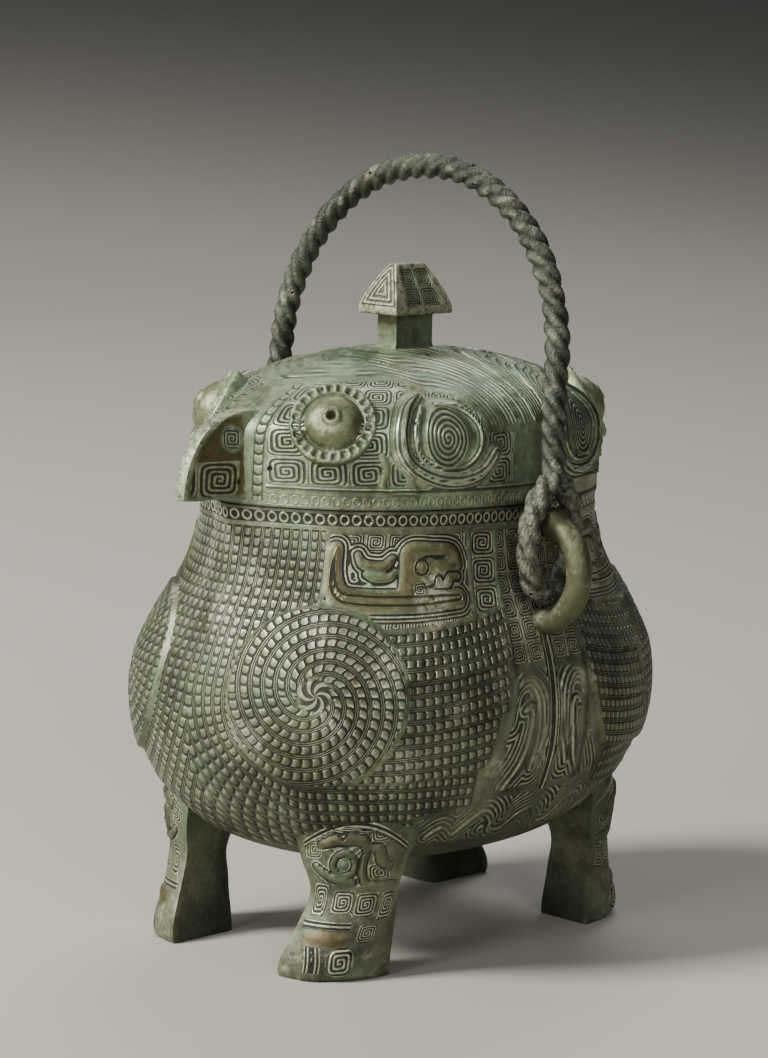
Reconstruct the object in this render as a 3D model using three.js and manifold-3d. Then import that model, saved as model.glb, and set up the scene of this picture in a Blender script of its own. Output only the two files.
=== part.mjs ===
// Bronze wine vessel in the form of two owls back to back, with a lid and a rope handle.
// Millimetres, +Z up. The beaks point along -X and +X, the handle's rings stand out along -Y and +Y.
// The origin lies on the ground in the middle of the four feet.
import * as THREE from 'three';
import { mergeVertices } from 'three/addons/utils/BufferGeometryUtils.js';
import Module from 'manifold-3d';

// Body
const BELLY_HALF_WIDTH = 74.5;
const RIM_HEIGHT = 156.2;
const BELLY_BOTTOM = 31.5;
const LENGTH_TO_WIDTH = 1.322;
const NECK_EXPONENT = 2.0;
const BELLY_EXPONENT = 2.2;
const BODY_WALL = 3.6;
const LIP_HEIGHT = 6;
const LIP_WALL = 2.4;
const LIP_ROOT = 4;
const BREAST_KEEL = 4;
// Half-widths of the body, as shares of its height and of its widest half-width
const BODY_PROFILE = [
  [0, 0.36], [0.02, 0.51], [0.06, 0.665], [0.12, 0.79], [0.216, 0.913], [0.329, 0.982], [0.441, 1],
  [0.553, 0.98], [0.666, 0.921], [0.785, 0.836], [0.873, 0.802], [0.946, 0.787], [1, 0.795],
];

// Lid
const LID_GAP = 0.3;
const LIP_CLEARANCE = 0.5;
const LID_WALL = 3.0;
const LID_HEIGHT = 47.5;
// Half-widths of the lid, as shares of its height and of the body's half-width at the rim
const LID_PROFILE = [
  [0, 1], [0.42, 0.997], [0.55, 0.98], [0.66, 0.925], [0.76, 0.82], [0.87, 0.63], [0.95, 0.38],
  [0.985, 0.18], [1, 0.05],
];

// Knob
const POST_LENGTH = 17.8;
const POST_WIDTH = 9;
const POST_HEIGHT = 12;
const POST_ROOT = 2;
const CAP_LENGTH = 27.6;
const CAP_WIDTH = 18;
const CAP_EDGE = 2.2;
const CAP_HEIGHT = 17;
const CAP_RIDGE_LENGTH = 14;
const CAP_RIDGE_WIDTH = 3;

// Owl's face on the lid
const EYE_RADIUS = 14.6;
const EYE_RIM_RISE = 1.5;
const EYE_SEAT = 2.2;
const EYE_BOSS_RADIUS = 9.2;
const EYE_BOSS_RISE = 6.4;
const EYE_PIT_RADIUS = 2;
const EYE_PIT_DEPTH = 2.5;
const EYE_TILT = 31;
const EYE_ROOT = 7;
const BEAK_REACH = 25.5;
const BEAK_HEIGHT = 30;
const BEAK_ROOT_HALF_WIDTH = 8.5;
const BEAK_RIDGE_HALF_WIDTH = 2.2;
const BEAK_ROOT = 8;
const LID_PROW = 3.5;
const HORN_WIDTH = 5;
const HORN_RISE = 2.4;

// Reliefs on the body
const DISC_RADIUS = 29;
const DISC_RISE = 1.3;
const ARM_RISE = 1.0;
const ARM_COUNT = 6;
const ARM_WIND = 1.5;
const WING_RISE = 1.0;
const WING_ROWS = 6;
const DRAGON_RISE = 1.2;
const DRAGON_WIDTH = 6.5;
const PLUME_RISE = 1.2;
const PLUME_WIDTH = 6.5;
const RELIEF_ROOT = 1.2;

// Legs: each is a quarter round, with its square corner towards the middle of the vessel
const LEG_CORNER_X = 50;
const LEG_CORNER_Y = 26;
const FOOT_REACH = 29.5;
const FOOT_WIDTH = 23.5;
const ANKLE_RADIUS = 20.5;
const THIGH_RADIUS = 28.5;
const ANKLE_HEIGHT = 29;
const LEG_CORNER_ROUND = 2;
const LEG_TOP = 58;

// Rings and handle. The rings' height is a share of the rim's, and they stand off the neck
const RING_HEIGHT = 0.8643;
const RING_STAND_OFF = 5.3;
const RING_RADIUS = 17.5;
const RING_TUBE = 4.3;
const RING_OPENING = 224;
const ROPE_STRANDS = 3;
const ROPE_RADIUS = 4.3;
const ROPE_WAIST = 3.3;
const ROPE_TWIST = 20;
const ROPE_STRAIGHT = 49;
const ROPE_START = 10;
const EYE_BAR = 4.1;
const EYE_HALF_WIDTH = 10.6;
const EYE_CLEARANCE = 1.7;
const EYE_CROWN = 13;
const EYE_DROP = 24.5;
const HANDLE_LEAN = 5.7;

// Fineness of the faceted surfaces
const BODY_SECTORS = 36;
const BODY_ROWS = 10;
const CAVITY_SECTORS = 18;
const CAVITY_ROWS = 4;
const HOLLOW_ROWS = 3;
const RING_STEPS = 8;
const ROPE_EYE_STEPS = 10;
const LID_SECTORS = 36;
const LID_ROWS = 6;
const EYE_SECTORS = 10;
const ROPE_STEPS_PER_TWIST = 7;

const COLOURS = { body: 0x5b6a5c, lid: 0x6b7e6c, handle: 0x66695d };

const wasm = await Module();
wasm.setup();

// Closed meshes and joins

/** Make a closed geometry from points and faces, with the faces turned outward. */
function closedGeometry(points, faces) {
  let volume = 0;
  const cross = new THREE.Vector3();
  for (const [a, b, c] of faces) {
    volume += points[a].dot(cross.crossVectors(points[b], points[c]));
  }
  const index = [];
  for (const [a, b, c] of faces) {
    index.push(...(volume > 0 ? [a, b, c] : [a, c, b]));
  }
  const geometry = new THREE.BufferGeometry();
  geometry.setAttribute('position', new THREE.Float32BufferAttribute(points.flatMap((p) => p.toArray()), 3));
  geometry.setIndex(index);
  return geometry;
}

/** Skin a stack of loops with equal numbers of points. A round trip joins the last loop to the first. */
function skin(loops, roundTrip = false) {
  const count = loops[0].length;
  const points = loops.flat();
  const faces = [];
  for (let row = 0; row < loops.length - (roundTrip ? 0 : 1); row++) {
    const nextRow = (row + 1) % loops.length;
    for (let i = 0; i < count; i++) {
      const a = row * count + i;
      const b = row * count + ((i + 1) % count);
      const c = nextRow * count + ((i + 1) % count);
      const d = nextRow * count + i;
      // The shorter diagonal keeps a twisted surface smooth
      if (points[a].distanceTo(points[c]) < points[b].distanceTo(points[d])) {
        faces.push([a, b, c], [a, c, d]);
      } else {
        faces.push([a, b, d], [b, c, d]);
      }
    }
  }
  for (const row of roundTrip ? [] : [0, loops.length - 1]) {
    const middle = new THREE.Vector3();
    loops[row].forEach((p) => middle.addScaledVector(p, 1 / count));
    points.push(middle);
    for (let i = 0; i < count; i++) {
      const a = row * count + i;
      const b = row * count + ((i + 1) % count);
      faces.push(row === 0 ? [b, a, points.length - 1] : [a, b, points.length - 1]);
    }
  }
  return closedGeometry(points, faces);
}

/** Turn a closed geometry into a solid that can be joined and cut. */
function solid(geometry) {
  const bare = geometry.clone();
  bare.deleteAttribute('normal');
  bare.deleteAttribute('uv');
  const merged = mergeVertices(bare, 1e-4);
  const vertProperties = new Float32Array(merged.attributes.position.array);
  const triVerts = new Uint32Array(merged.index.array);
  return new wasm.Manifold(new wasm.Mesh({ numProp: 3, vertProperties, triVerts }));
}

/** Join solids one after another. */
function join(solids) {
  return solids.reduce((whole, next) => whole.add(next));
}

/** Named mesh of a finished solid. */
function pieceMesh(name, body, colour, roughness) {
  const data = body.getMesh();
  const geometry = new THREE.BufferGeometry();
  geometry.setAttribute('position', new THREE.Float32BufferAttribute(Array.from(data.vertProperties), 3));
  geometry.setIndex(Array.from(data.triVerts));
  geometry.computeVertexNormals();
  const material = new THREE.MeshStandardMaterial({ color: colour, roughness, metalness: 0.5 });
  const mesh = new THREE.Mesh(geometry, material);
  mesh.name = name;
  return mesh;
}

// Surfaces

/** Smooth reader of a profile: share of the height to share of the half-width. */
function profileReader(rows) {
  const curve = new THREE.SplineCurve(rows.map(([t, w]) => new THREE.Vector2(t, w)));
  const samples = curve.getPoints(240);
  return (t) => {
    const next = samples.findIndex((p) => p.x >= t);
    if (next <= 0) {
      return next === 0 ? samples[0].y : samples[samples.length - 1].y;
    }
    const [low, high] = [samples[next - 1], samples[next]];
    return THREE.MathUtils.mapLinear(t, low.x, high.x, low.y, high.y);
  };
}

const bodyShare = profileReader(BODY_PROFILE);
const lidShare = profileReader(LID_PROFILE);
const RIM_HALF_WIDTH = BELLY_HALF_WIDTH * bodyShare(1);
const LID_BOTTOM = RIM_HEIGHT + LID_GAP;
const LID_TOP = LID_BOTTOM + LID_HEIGHT;

/** Point of an oval section. The turn is in degrees from -X towards -Y. */
function ovalPoint(turn, height, halfWidth, exponent) {
  const angle = THREE.MathUtils.degToRad(turn);
  const x = Math.cos(angle);
  const y = Math.sin(angle);
  const halfLength = halfWidth * LENGTH_TO_WIDTH;
  const sum = Math.abs(x / halfLength) ** exponent + Math.abs(y / halfWidth) ** exponent;
  const reach = sum ** (-1 / exponent);
  return new THREE.Vector3(-reach * x, -reach * y, height);
}

/** Degrees between a turn and the nearer beak. */
function offMiddle(turn) {
  return Math.min(Math.abs(turn % 180), 180 - Math.abs(turn % 180));
}

/** Keel down the middle of each breast, below the beak, as an outward reach in mm. */
function keel(turn, height) {
  const along = THREE.MathUtils.smoothstep(height, RIM_HEIGHT * 0.68, RIM_HEIGHT * 0.97);
  return BREAST_KEEL * along * Math.max(0, 1 - offMiddle(turn) / 10);
}

function bodyPoint(turn, height, inset = 0) {
  const share = (height - BELLY_BOTTOM) / (RIM_HEIGHT - BELLY_BOTTOM);
  const exponent = THREE.MathUtils.mapLinear(
    THREE.MathUtils.clamp(height, RIM_HEIGHT * 0.64, RIM_HEIGHT * 0.9),
    RIM_HEIGHT * 0.64, RIM_HEIGHT * 0.9, BELLY_EXPONENT, NECK_EXPONENT,
  );
  const halfWidth = BELLY_HALF_WIDTH * bodyShare(THREE.MathUtils.clamp(share, 0, 1)) - inset;
  const point = ovalPoint(turn, height, halfWidth, exponent);
  if (inset === 0) {
    const out = new THREE.Vector3(point.x, point.y, 0).normalize();
    point.addScaledVector(out, keel(turn, height));
  }
  return point;
}

function lidPoint(turn, height, inset = 0) {
  const share = THREE.MathUtils.clamp((height - LID_BOTTOM) / LID_HEIGHT, 0, 1);
  const point = ovalPoint(turn, height, Math.max(RIM_HALF_WIDTH * lidShare(share) - inset, 1), NECK_EXPONENT);
  if (inset === 0) {
    const fade = 1 - THREE.MathUtils.smoothstep(share, 0.5, 0.75);
    const out = new THREE.Vector3(point.x, point.y, 0).normalize();
    point.addScaledVector(out, LID_PROW * fade * Math.max(0, 1 - offMiddle(turn) / 15));
  }
  return point;
}

const RING_CENTRE_Z = RIM_HEIGHT * RING_HEIGHT;
const RING_CENTRE_Y = -bodyPoint(90, RING_CENTRE_Z).y + RING_STAND_OFF;
const ROPE_HALF_SPAN = RING_CENTRE_Y;
const EYE_LOW = RING_CENTRE_Z + RING_RADIUS - EYE_DROP - EYE_BAR;
const EYE_SIDE = -bodyPoint(90, EYE_LOW).y + EYE_BAR + EYE_CLEARANCE;

/** Outward normal of a surface given as a function of turn and height. */
function normalOf(surface, turn, height) {
  const aside = surface(turn + 0.5, height).sub(surface(turn - 0.5, height));
  const up = surface(turn, height + 0.4).sub(surface(turn, height - 0.4));
  const normal = aside.cross(up).normalize();
  const point = surface(turn, height);
  return normal.dot(new THREE.Vector3(point.x, point.y, 0)) < 0 ? normal.negate() : normal;
}

/** Point raised off a surface along its normal. */
function raised(surface, turn, height, rise) {
  return surface(turn, height).addScaledVector(normalOf(surface, turn, height), rise);
}

/** Loops of a stack of sections, evenly stepped in turn. */
function sections(heights, sectors, point) {
  return heights.map((height) => {
    const loop = [];
    for (let i = 0; i < sectors; i++) {
      loop.push(point((360 * i) / sectors, height));
    }
    return loop;
  });
}

/** Heights that crowd where a profile bends inward most, from its spline. */
function profileHeights(rows, count, bottom, height) {
  const curve = new THREE.SplineCurve(rows.map(([t, w]) => new THREE.Vector2(t, w)));
  return curve.getSpacedPoints(count).map((p) => bottom + THREE.MathUtils.clamp(p.x, 0, 1) * height);
}

/** Mirror a point from the quarter at -X and -Y into one of the four quarters. */
function mirrored(point, quarter) {
  return new THREE.Vector3(point.x * quarter.x, point.y * quarter.y, point.z);
}

const QUARTERS = [
  new THREE.Vector2(1, 1), new THREE.Vector2(1, -1), new THREE.Vector2(-1, -1), new THREE.Vector2(-1, 1),
];

/** Ridge along a path on a surface, rooted in the wall. The path gives turn, height and width. */
function ridge(surface, path, rise, quarter) {
  const centres = path.map(([turn, height]) => surface(turn, height));
  const loops = path.map(([turn, height, width], i) => {
    const normal = normalOf(surface, turn, height);
    const before = centres[Math.max(i - 1, 0)];
    const after = centres[Math.min(i + 1, centres.length - 1)];
    const side = after.clone().sub(before).cross(normal).normalize();
    const corner = (across, out) => mirrored(
      centres[i].clone().addScaledVector(side, across).addScaledVector(normal, out), quarter,
    );
    const half = width / 2;
    return [
      corner(-half, -RELIEF_ROOT), corner(-half * 0.85, rise), corner(half * 0.85, rise), corner(half, -RELIEF_ROOT),
    ];
  });
  return solid(skin(loops));
}

/** Points of a smooth path through a few places given as turn, height and width. */
function smoothPath(places, count) {
  const curve = new THREE.CatmullRomCurve3(places.map((p) => new THREE.Vector3(...p)));
  return curve.getPoints(count).map((p) => [p.x, p.y, p.z]);
}

// Body reliefs, given for the quarter at -X and -Y

/** Round wing shoulder: a raised disc whose low arms wind out from its middle. */
function wingDisc(quarter) {
  const turnOfCentre = 28;
  const height = RIM_HEIGHT * 0.627;
  const centre = bodyPoint(turnOfCentre, height);
  const normal = normalOf(bodyPoint, turnOfCentre, height);
  const aside = new THREE.Vector3(0, 0, 1).cross(normal).normalize();
  const up = normal.clone().cross(aside);
  const sectors = ARM_COUNT * 3;
  const rings = 3;
  const place = (radius, angle, rise) => {
    const flat = centre.clone()
      .addScaledVector(aside, radius * Math.cos(angle))
      .addScaledVector(up, radius * Math.sin(angle));
    const turn = THREE.MathUtils.radToDeg(Math.atan2(-flat.y, -flat.x));
    return mirrored(raised(bodyPoint, turn, flat.z, rise), quarter);
  };
  const loops = [];
  for (let ring = 1; ring <= rings; ring++) {
    const share = ring / rings;
    const loop = [];
    for (let i = 0; i < sectors; i++) {
      const wave = i % 3 === 0 ? 0 : ARM_RISE;
      const angle = (2 * Math.PI * i) / sectors + ARM_WIND * share;
      loop.push(place(DISC_RADIUS * share, angle, DISC_RISE + (ring === rings ? ARM_RISE : wave)));
    }
    loops.push(loop);
  }
  loops.push(loops[rings - 1].map((_, i) => place(
    DISC_RADIUS + DISC_RISE, (2 * Math.PI * i) / sectors + ARM_WIND, -RELIEF_ROOT,
  )));
  return solid(skin(loops));
}

/** Feather rows of the folded wing, behind the disc: a raised field with a groove between rows. */
function wingFeathers(quarter) {
  const top = RIM_HEIGHT * 0.785;
  const bottom = RIM_HEIGHT * 0.395;
  const steps = 3;
  const columns = [];
  for (let step = 0; step <= steps; step++) {
    const along = step / steps;
    const lift = RIM_HEIGHT * 0.045 * along * along;
    const column = [];
    for (let row = 0; row <= 2 * WING_ROWS; row++) {
      const down = row / (2 * WING_ROWS);
      const turn = 40 + along * (36 - 10 * down ** 3);
      const height = THREE.MathUtils.lerp(top, bottom, down) + lift;
      const rise = row % 2 === 1 ? WING_RISE : 0.15;
      column.push([turn, height, rise]);
    }
    columns.push(column);
  }
  const loops = columns.map((column) => {
    const outer = column.map(([turn, height, rise]) => raised(bodyPoint, turn, height, rise));
    const inner = [column[2 * WING_ROWS], column[WING_ROWS], column[0]].map(
      ([turn, height]) => raised(bodyPoint, turn, height, -RELIEF_ROOT),
    );
    return [...outer, ...inner].map((p) => mirrored(p, quarter));
  });
  return solid(skin(loops));
}

/** Crested dragon in the panel under the rim, as smooth raised bars. */
function dragon(quarter) {
  const low = RIM_HEIGHT * 0.822;
  const high = RIM_HEIGHT * 0.935;
  const middle = (low + high) / 2;
  // Each place: turn, height, width as a share of the dragon's body
  const bars = [
    [[30, high, 0.6], [27.5, middle, 0.9], [29.5, low, 1], [37, low, 1], [50, low, 1], [63, low, 1]],
    [[43, low, 0.8], [43, middle, 0.8], [45, high, 0.8], [56, high, 0.7], [63, high, 0.6]],
    [[45, middle, 1.2], [54, middle, 1.2], [62, middle, 0.9]],
  ];
  const placed = ([turn, height, width]) => [turn, height, DRAGON_WIDTH * width];
  return bars.map((bar) => ridge(bodyPoint, smoothPath(bar.map(placed), 3), DRAGON_RISE, quarter));
}

/** Drooping plume beside the seam under a ring. */
function plume(quarter) {
  // Each place: turn, height as a share of the rim's, width as a share of the plume's
  const hook = [
    [74.5, 0.563, 0.45], [77, 0.621, 0.75], [82, 0.64, 0.9], [86.3, 0.602, 1], [86.5, 0.525, 0.85], [83.5, 0.448, 0.4],
  ];
  const placed = ([turn, share, width]) => [turn, RIM_HEIGHT * share, PLUME_WIDTH * width];
  return [ridge(bodyPoint, smoothPath(hook.map(placed), 6), PLUME_RISE, quarter)];
}

// Legs

/** Quarter-round section of a leg in the quarter at -X and -Y, with its corners rounded. */
function legSection(height, corner, reach, width) {
  const steps = 6;
  const power = 0.92;
  const loop = [[0, LEG_CORNER_ROUND], [LEG_CORNER_ROUND, 0]];
  for (let i = 0; i <= steps; i++) {
    const angle = THREE.MathUtils.degToRad((90 * i) / steps);
    loop.push([reach * Math.cos(angle) ** power, width * Math.max(Math.sin(angle), 0) ** power]);
  }
  return loop.map(([x, y]) => new THREE.Vector3(-corner.x - x, -corner.y - y, height));
}

/** One leg, from its flat sole up into the belly. */
function leg(quarter) {
  const between = THREE.MathUtils.lerp;
  // Each station: height, its corner's shift as shares of the thigh, reach and width
  const stations = [
    [0, 0, 0, FOOT_REACH * 0.97, FOOT_WIDTH * 0.96],
    [ANKLE_HEIGHT * 0.086, 0, 0, FOOT_REACH, FOOT_WIDTH],
    [ANKLE_HEIGHT * 0.31, 0, 0.035, FOOT_REACH * 0.95, FOOT_WIDTH * 0.96],
    [ANKLE_HEIGHT * 0.62, -0.018, 0.105, between(ANKLE_RADIUS, FOOT_REACH, 0.4), ANKLE_RADIUS * 1.04],
    [ANKLE_HEIGHT, -0.035, 0.158, ANKLE_RADIUS, ANKLE_RADIUS],
    [LEG_TOP * 0.672, -0.123, 0.088, between(ANKLE_RADIUS, THIGH_RADIUS, 0.6), ANKLE_RADIUS * 1.175],
    [LEG_TOP * 0.845, -0.21, 0.018, THIGH_RADIUS, THIGH_RADIUS],
    [LEG_TOP, -0.28, -0.035, THIGH_RADIUS * 1.018, THIGH_RADIUS],
  ];
  const loops = stations.map(([height, dx, dy, reach, width]) => {
    const corner = new THREE.Vector2(LEG_CORNER_X + dx * THIGH_RADIUS, LEG_CORNER_Y + dy * THIGH_RADIUS);
    return legSection(height, corner, reach, width).map((p) => mirrored(p, quarter));
  });
  return solid(skin(loops));
}

// Rings

/** Round bar along a path that lies in a plane with the given normal. */
function bar(path, planeNormal, radius, sides, roundTrip = false) {
  const last = path.length - 1;
  const loops = path.map((point, i) => {
    const before = path[roundTrip && i === 0 ? last : Math.max(i - 1, 0)];
    const after = path[roundTrip && i === last ? 0 : Math.min(i + 1, last)];
    const out = after.clone().sub(before).cross(planeNormal).normalize();
    const loop = [];
    for (let k = 0; k < sides; k++) {
      const angle = (2 * Math.PI * k) / sides;
      loop.push(point.clone()
        .addScaledVector(out, radius * Math.cos(angle))
        .addScaledVector(planeNormal, radius * Math.sin(angle)));
    }
    return loop;
  });
  return solid(skin(loops, roundTrip));
}

/** Half ring cast on the neck at the given side, open towards the body. */
function ring(side) {
  const path = [];
  for (let i = 0; i <= RING_STEPS; i++) {
    const angle = THREE.MathUtils.degToRad(RING_OPENING * (i / RING_STEPS - 0.5));
    path.push(new THREE.Vector3(
      0, side * (RING_CENTRE_Y + RING_RADIUS * Math.cos(angle)), RING_CENTRE_Z + RING_RADIUS * Math.sin(angle),
    ));
  }
  return bar(path, new THREE.Vector3(1, 0, 0), RING_TUBE, 6);
}

// Lid forms

/** Eye of an owl: a round rim with a domed, pitted boss, square to the lid's slope. */
function owlEye(quarter) {
  const turn = 25;
  const height = LID_BOTTOM + LID_HEIGHT * 0.61;
  const centre = lidPoint(turn, height);
  const flat = normalOf(lidPoint, turn, LID_BOTTOM + 4).normalize();
  const tilt = THREE.MathUtils.degToRad(EYE_TILT);
  const axis = flat.multiplyScalar(Math.cos(tilt)).add(new THREE.Vector3(0, 0, Math.sin(tilt))).normalize();
  const profile = [
    [0, -EYE_ROOT - EYE_SEAT], [EYE_RADIUS, -EYE_ROOT], [EYE_RADIUS, EYE_RIM_RISE * 0.5], [EYE_RADIUS - 2, EYE_RIM_RISE],
    [EYE_BOSS_RADIUS + 0.6, EYE_RIM_RISE * 0.7], [EYE_BOSS_RADIUS * 0.9, EYE_BOSS_RISE * 0.62],
    [EYE_BOSS_RADIUS * 0.5, EYE_BOSS_RISE * 0.93], [EYE_PIT_RADIUS, EYE_BOSS_RISE], [0, EYE_BOSS_RISE - EYE_PIT_DEPTH],
  ];
  const lathe = new THREE.LatheGeometry(profile.map(([r, h]) => new THREE.Vector2(r, h)), EYE_SECTORS);
  const turned = new THREE.Quaternion().setFromUnitVectors(new THREE.Vector3(0, 1, 0), axis);
  lathe.applyQuaternion(turned);
  const seat = centre.addScaledVector(axis, -EYE_SEAT);
  lathe.translate(seat.x, seat.y, seat.z);
  const position = lathe.attributes.position;
  const points = [];
  for (let i = 0; i < position.count; i++) {
    points.push(mirrored(new THREE.Vector3().fromBufferAttribute(position, i), quarter));
  }
  const faces = [];
  for (let i = 0; i < lathe.index.count; i += 3) {
    faces.push([lathe.index.getX(i), lathe.index.getX(i + 1), lathe.index.getX(i + 2)]);
  }
  return solid(closedGeometry(points, faces));
}

/** Hooked beak at one end of the lid: wide at its root, with a thick front ridge. */
function beak(side) {
  const front = RIM_HALF_WIDTH * LENGTH_TO_WIDTH;
  const foot = LID_BOTTOM + 1;
  // Each station: root height, reach and height of the ridge, as shares of the beak's reach and height
  const stations = [
    [1, 0.1, 0.99], [0.86, 0.42, 0.9], [0.66, 0.68, 0.74], [0.46, 0.86, 0.52], [0.28, 0.96, 0.3], [0.1, 1, 0.09],
    [0.02, 0.93, 0.05], [0, 0.55, 0.1],
  ];
  const loops = stations.map(([rootShare, reachShare, heightShare], i) => {
    const rootHeight = foot + BEAK_HEIGHT * rootShare;
    const ridgeHeight = foot + BEAK_HEIGHT * heightShare;
    const root = side * (front - BEAK_ROOT);
    const reach = side * (front + BEAK_REACH * reachShare);
    const half = i === 0 || i === stations.length - 1 ? BEAK_ROOT_HALF_WIDTH * 0.8 : BEAK_ROOT_HALF_WIDTH;
    return [
      new THREE.Vector3(root, -half, rootHeight),
      new THREE.Vector3(reach, -BEAK_RIDGE_HALF_WIDTH, ridgeHeight),
      new THREE.Vector3(reach, BEAK_RIDGE_HALF_WIDTH, ridgeHeight),
      new THREE.Vector3(root, half, rootHeight),
    ];
  });
  return solid(skin(loops));
}

/** Horn beside the seam: a crest that comes down from the crown and curls into a coil. */
function horn(quarter) {
  // Each place: turn, height as a share of the lid's, width as a share of the horn's
  const coil = [[46.5, 0.7, 0.7], [43.5, 0.47, 1], [49, 0.238, 1], [61, 0.154, 1], [73, 0.196, 0.8]];
  const crest = [
    [38, 0.89, 0.5], [56, 0.87, 0.6], [68, 0.66, 0.6], [70, 0.428, 0.6], [63, 0.302, 0.6], [54, 0.386, 0.6],
    [53, 0.554, 0.5], [60, 0.596, 0.4],
  ];
  const placed = ([turn, share, width]) => [turn, LID_BOTTOM + LID_HEIGHT * share, HORN_WIDTH * width];
  return [
    ridge(lidPoint, smoothPath(coil.map(placed), 5), HORN_RISE, quarter),
    ridge(lidPoint, smoothPath(crest.map(placed), 6), HORN_RISE * 0.6, quarter),
  ];
}

/** Knob: a flat post under a small hipped roof. */
function knob() {
  const rectangle = (length, width, height) => [
    new THREE.Vector3(-length / 2, -width / 2, height), new THREE.Vector3(length / 2, -width / 2, height),
    new THREE.Vector3(length / 2, width / 2, height), new THREE.Vector3(-length / 2, width / 2, height),
  ];
  const capBottom = LID_TOP + POST_HEIGHT;
  const post = skin([
    rectangle(POST_LENGTH, POST_WIDTH, LID_TOP - POST_ROOT),
    rectangle(POST_LENGTH, POST_WIDTH, capBottom + CAP_EDGE / 2),
  ]);
  const cap = skin([
    rectangle(CAP_LENGTH, CAP_WIDTH, capBottom),
    rectangle(CAP_LENGTH, CAP_WIDTH, capBottom + CAP_EDGE),
    rectangle(CAP_RIDGE_LENGTH, CAP_RIDGE_WIDTH, capBottom + CAP_HEIGHT),
  ]);
  return [solid(post), solid(cap)];
}

// Handle

/** Three-strand rope bail with a rigid eye at each end, upright, about an axis along Y at height zero. */
function ropeBail() {
  const straight = ROPE_STRAIGHT - ROPE_START;
  const arc = Math.PI * ROPE_HALF_SPAN;
  const length = 2 * straight + arc;
  const count = Math.round((length / ROPE_TWIST) * ROPE_STEPS_PER_TWIST);
  const flat = new THREE.Vector3(1, 0, 0);
  const loops = [];
  for (let i = 0; i <= count; i++) {
    const s = (length * i) / count;
    const angle = THREE.MathUtils.clamp((s - straight) / ROPE_HALF_SPAN, 0, Math.PI);
    const up = new THREE.Vector3(0, -Math.cos(angle), Math.sin(angle));
    const centre = up.clone().multiplyScalar(ROPE_HALF_SPAN);
    const below = Math.max(straight - s, s - straight - arc, 0);
    centre.z += ROPE_STRAIGHT - below;
    centre.y += Math.sign(centre.y) * (EYE_SIDE - ROPE_HALF_SPAN) * (below / straight) ** 1.5;
    const twist = (-2 * Math.PI * s) / ROPE_TWIST;
    const loop = [];
    // The strands' crowns, with a groove between two of them
    for (let k = 0; k < 2 * ROPE_STRANDS; k++) {
      const around = (Math.PI * k) / ROPE_STRANDS;
      const reach = k % 2 === 0 ? ROPE_RADIUS : ROPE_WAIST;
      loop.push(centre.clone()
        .addScaledVector(up, reach * Math.cos(around + twist))
        .addScaledVector(flat, reach * Math.sin(around + twist)));
    }
    loops.push(loop);
  }
  return solid(skin(loops));
}

/** Rigid eye that hangs round the upper arm of a ring. */
function ropeEye(side) {
  const path = [];
  for (let i = 0; i < ROPE_EYE_STEPS; i++) {
    const around = (2 * Math.PI * i) / ROPE_EYE_STEPS;
    const middle = (EYE_CROWN - EYE_DROP) / 2;
    const reach = (EYE_CROWN + EYE_DROP) / 2;
    path.push(new THREE.Vector3(
      EYE_HALF_WIDTH * Math.sin(around), side * EYE_SIDE, middle - reach * Math.cos(around),
    ));
  }
  return bar(path, new THREE.Vector3(0, 1, 0), EYE_BAR, 6, true);
}

// Assembly

function makeVessel() {
  const heights = profileHeights(BODY_PROFILE, BODY_ROWS, BELLY_BOTTOM, RIM_HEIGHT - BELLY_BOTTOM);
  const body = solid(skin(sections(heights, BODY_SECTORS, bodyPoint)));
  const lipOuter = RIM_HALF_WIDTH - LID_WALL - LIP_CLEARANCE;
  const lipPoint = (turn, height) => ovalPoint(turn, height, lipOuter, NECK_EXPONENT);
  const lip = solid(skin(sections([RIM_HEIGHT - LIP_ROOT, RIM_HEIGHT + LIP_HEIGHT], LID_SECTORS, lipPoint)));
  const mouth = lipOuter - LIP_WALL;
  const floor = BELLY_BOTTOM + BODY_WALL;
  const shoulder = RIM_HEIGHT - 1.5 * LIP_ROOT;
  const cavityHeights = profileHeights(BODY_PROFILE, CAVITY_ROWS, floor, shoulder - floor);
  const cavityPoint = (turn, height) => bodyPoint(turn, height, BODY_WALL);
  const mouthPoint = (turn, height) => ovalPoint(turn, height, mouth, NECK_EXPONENT);
  const cavity = solid(skin([
    ...sections(cavityHeights, CAVITY_SECTORS, cavityPoint),
    ...sections([RIM_HEIGHT - LIP_ROOT, RIM_HEIGHT + 2 * LIP_HEIGHT], CAVITY_SECTORS, mouthPoint),
  ]));
  const forms = QUARTERS.flatMap((quarter) => [
    wingDisc(quarter), wingFeathers(quarter), ...dragon(quarter), ...plume(quarter), leg(quarter),
  ]);
  const whole = join([body, lip, ring(-1), ring(1), ...forms]);
  return whole.subtract(cavity);
}

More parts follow.
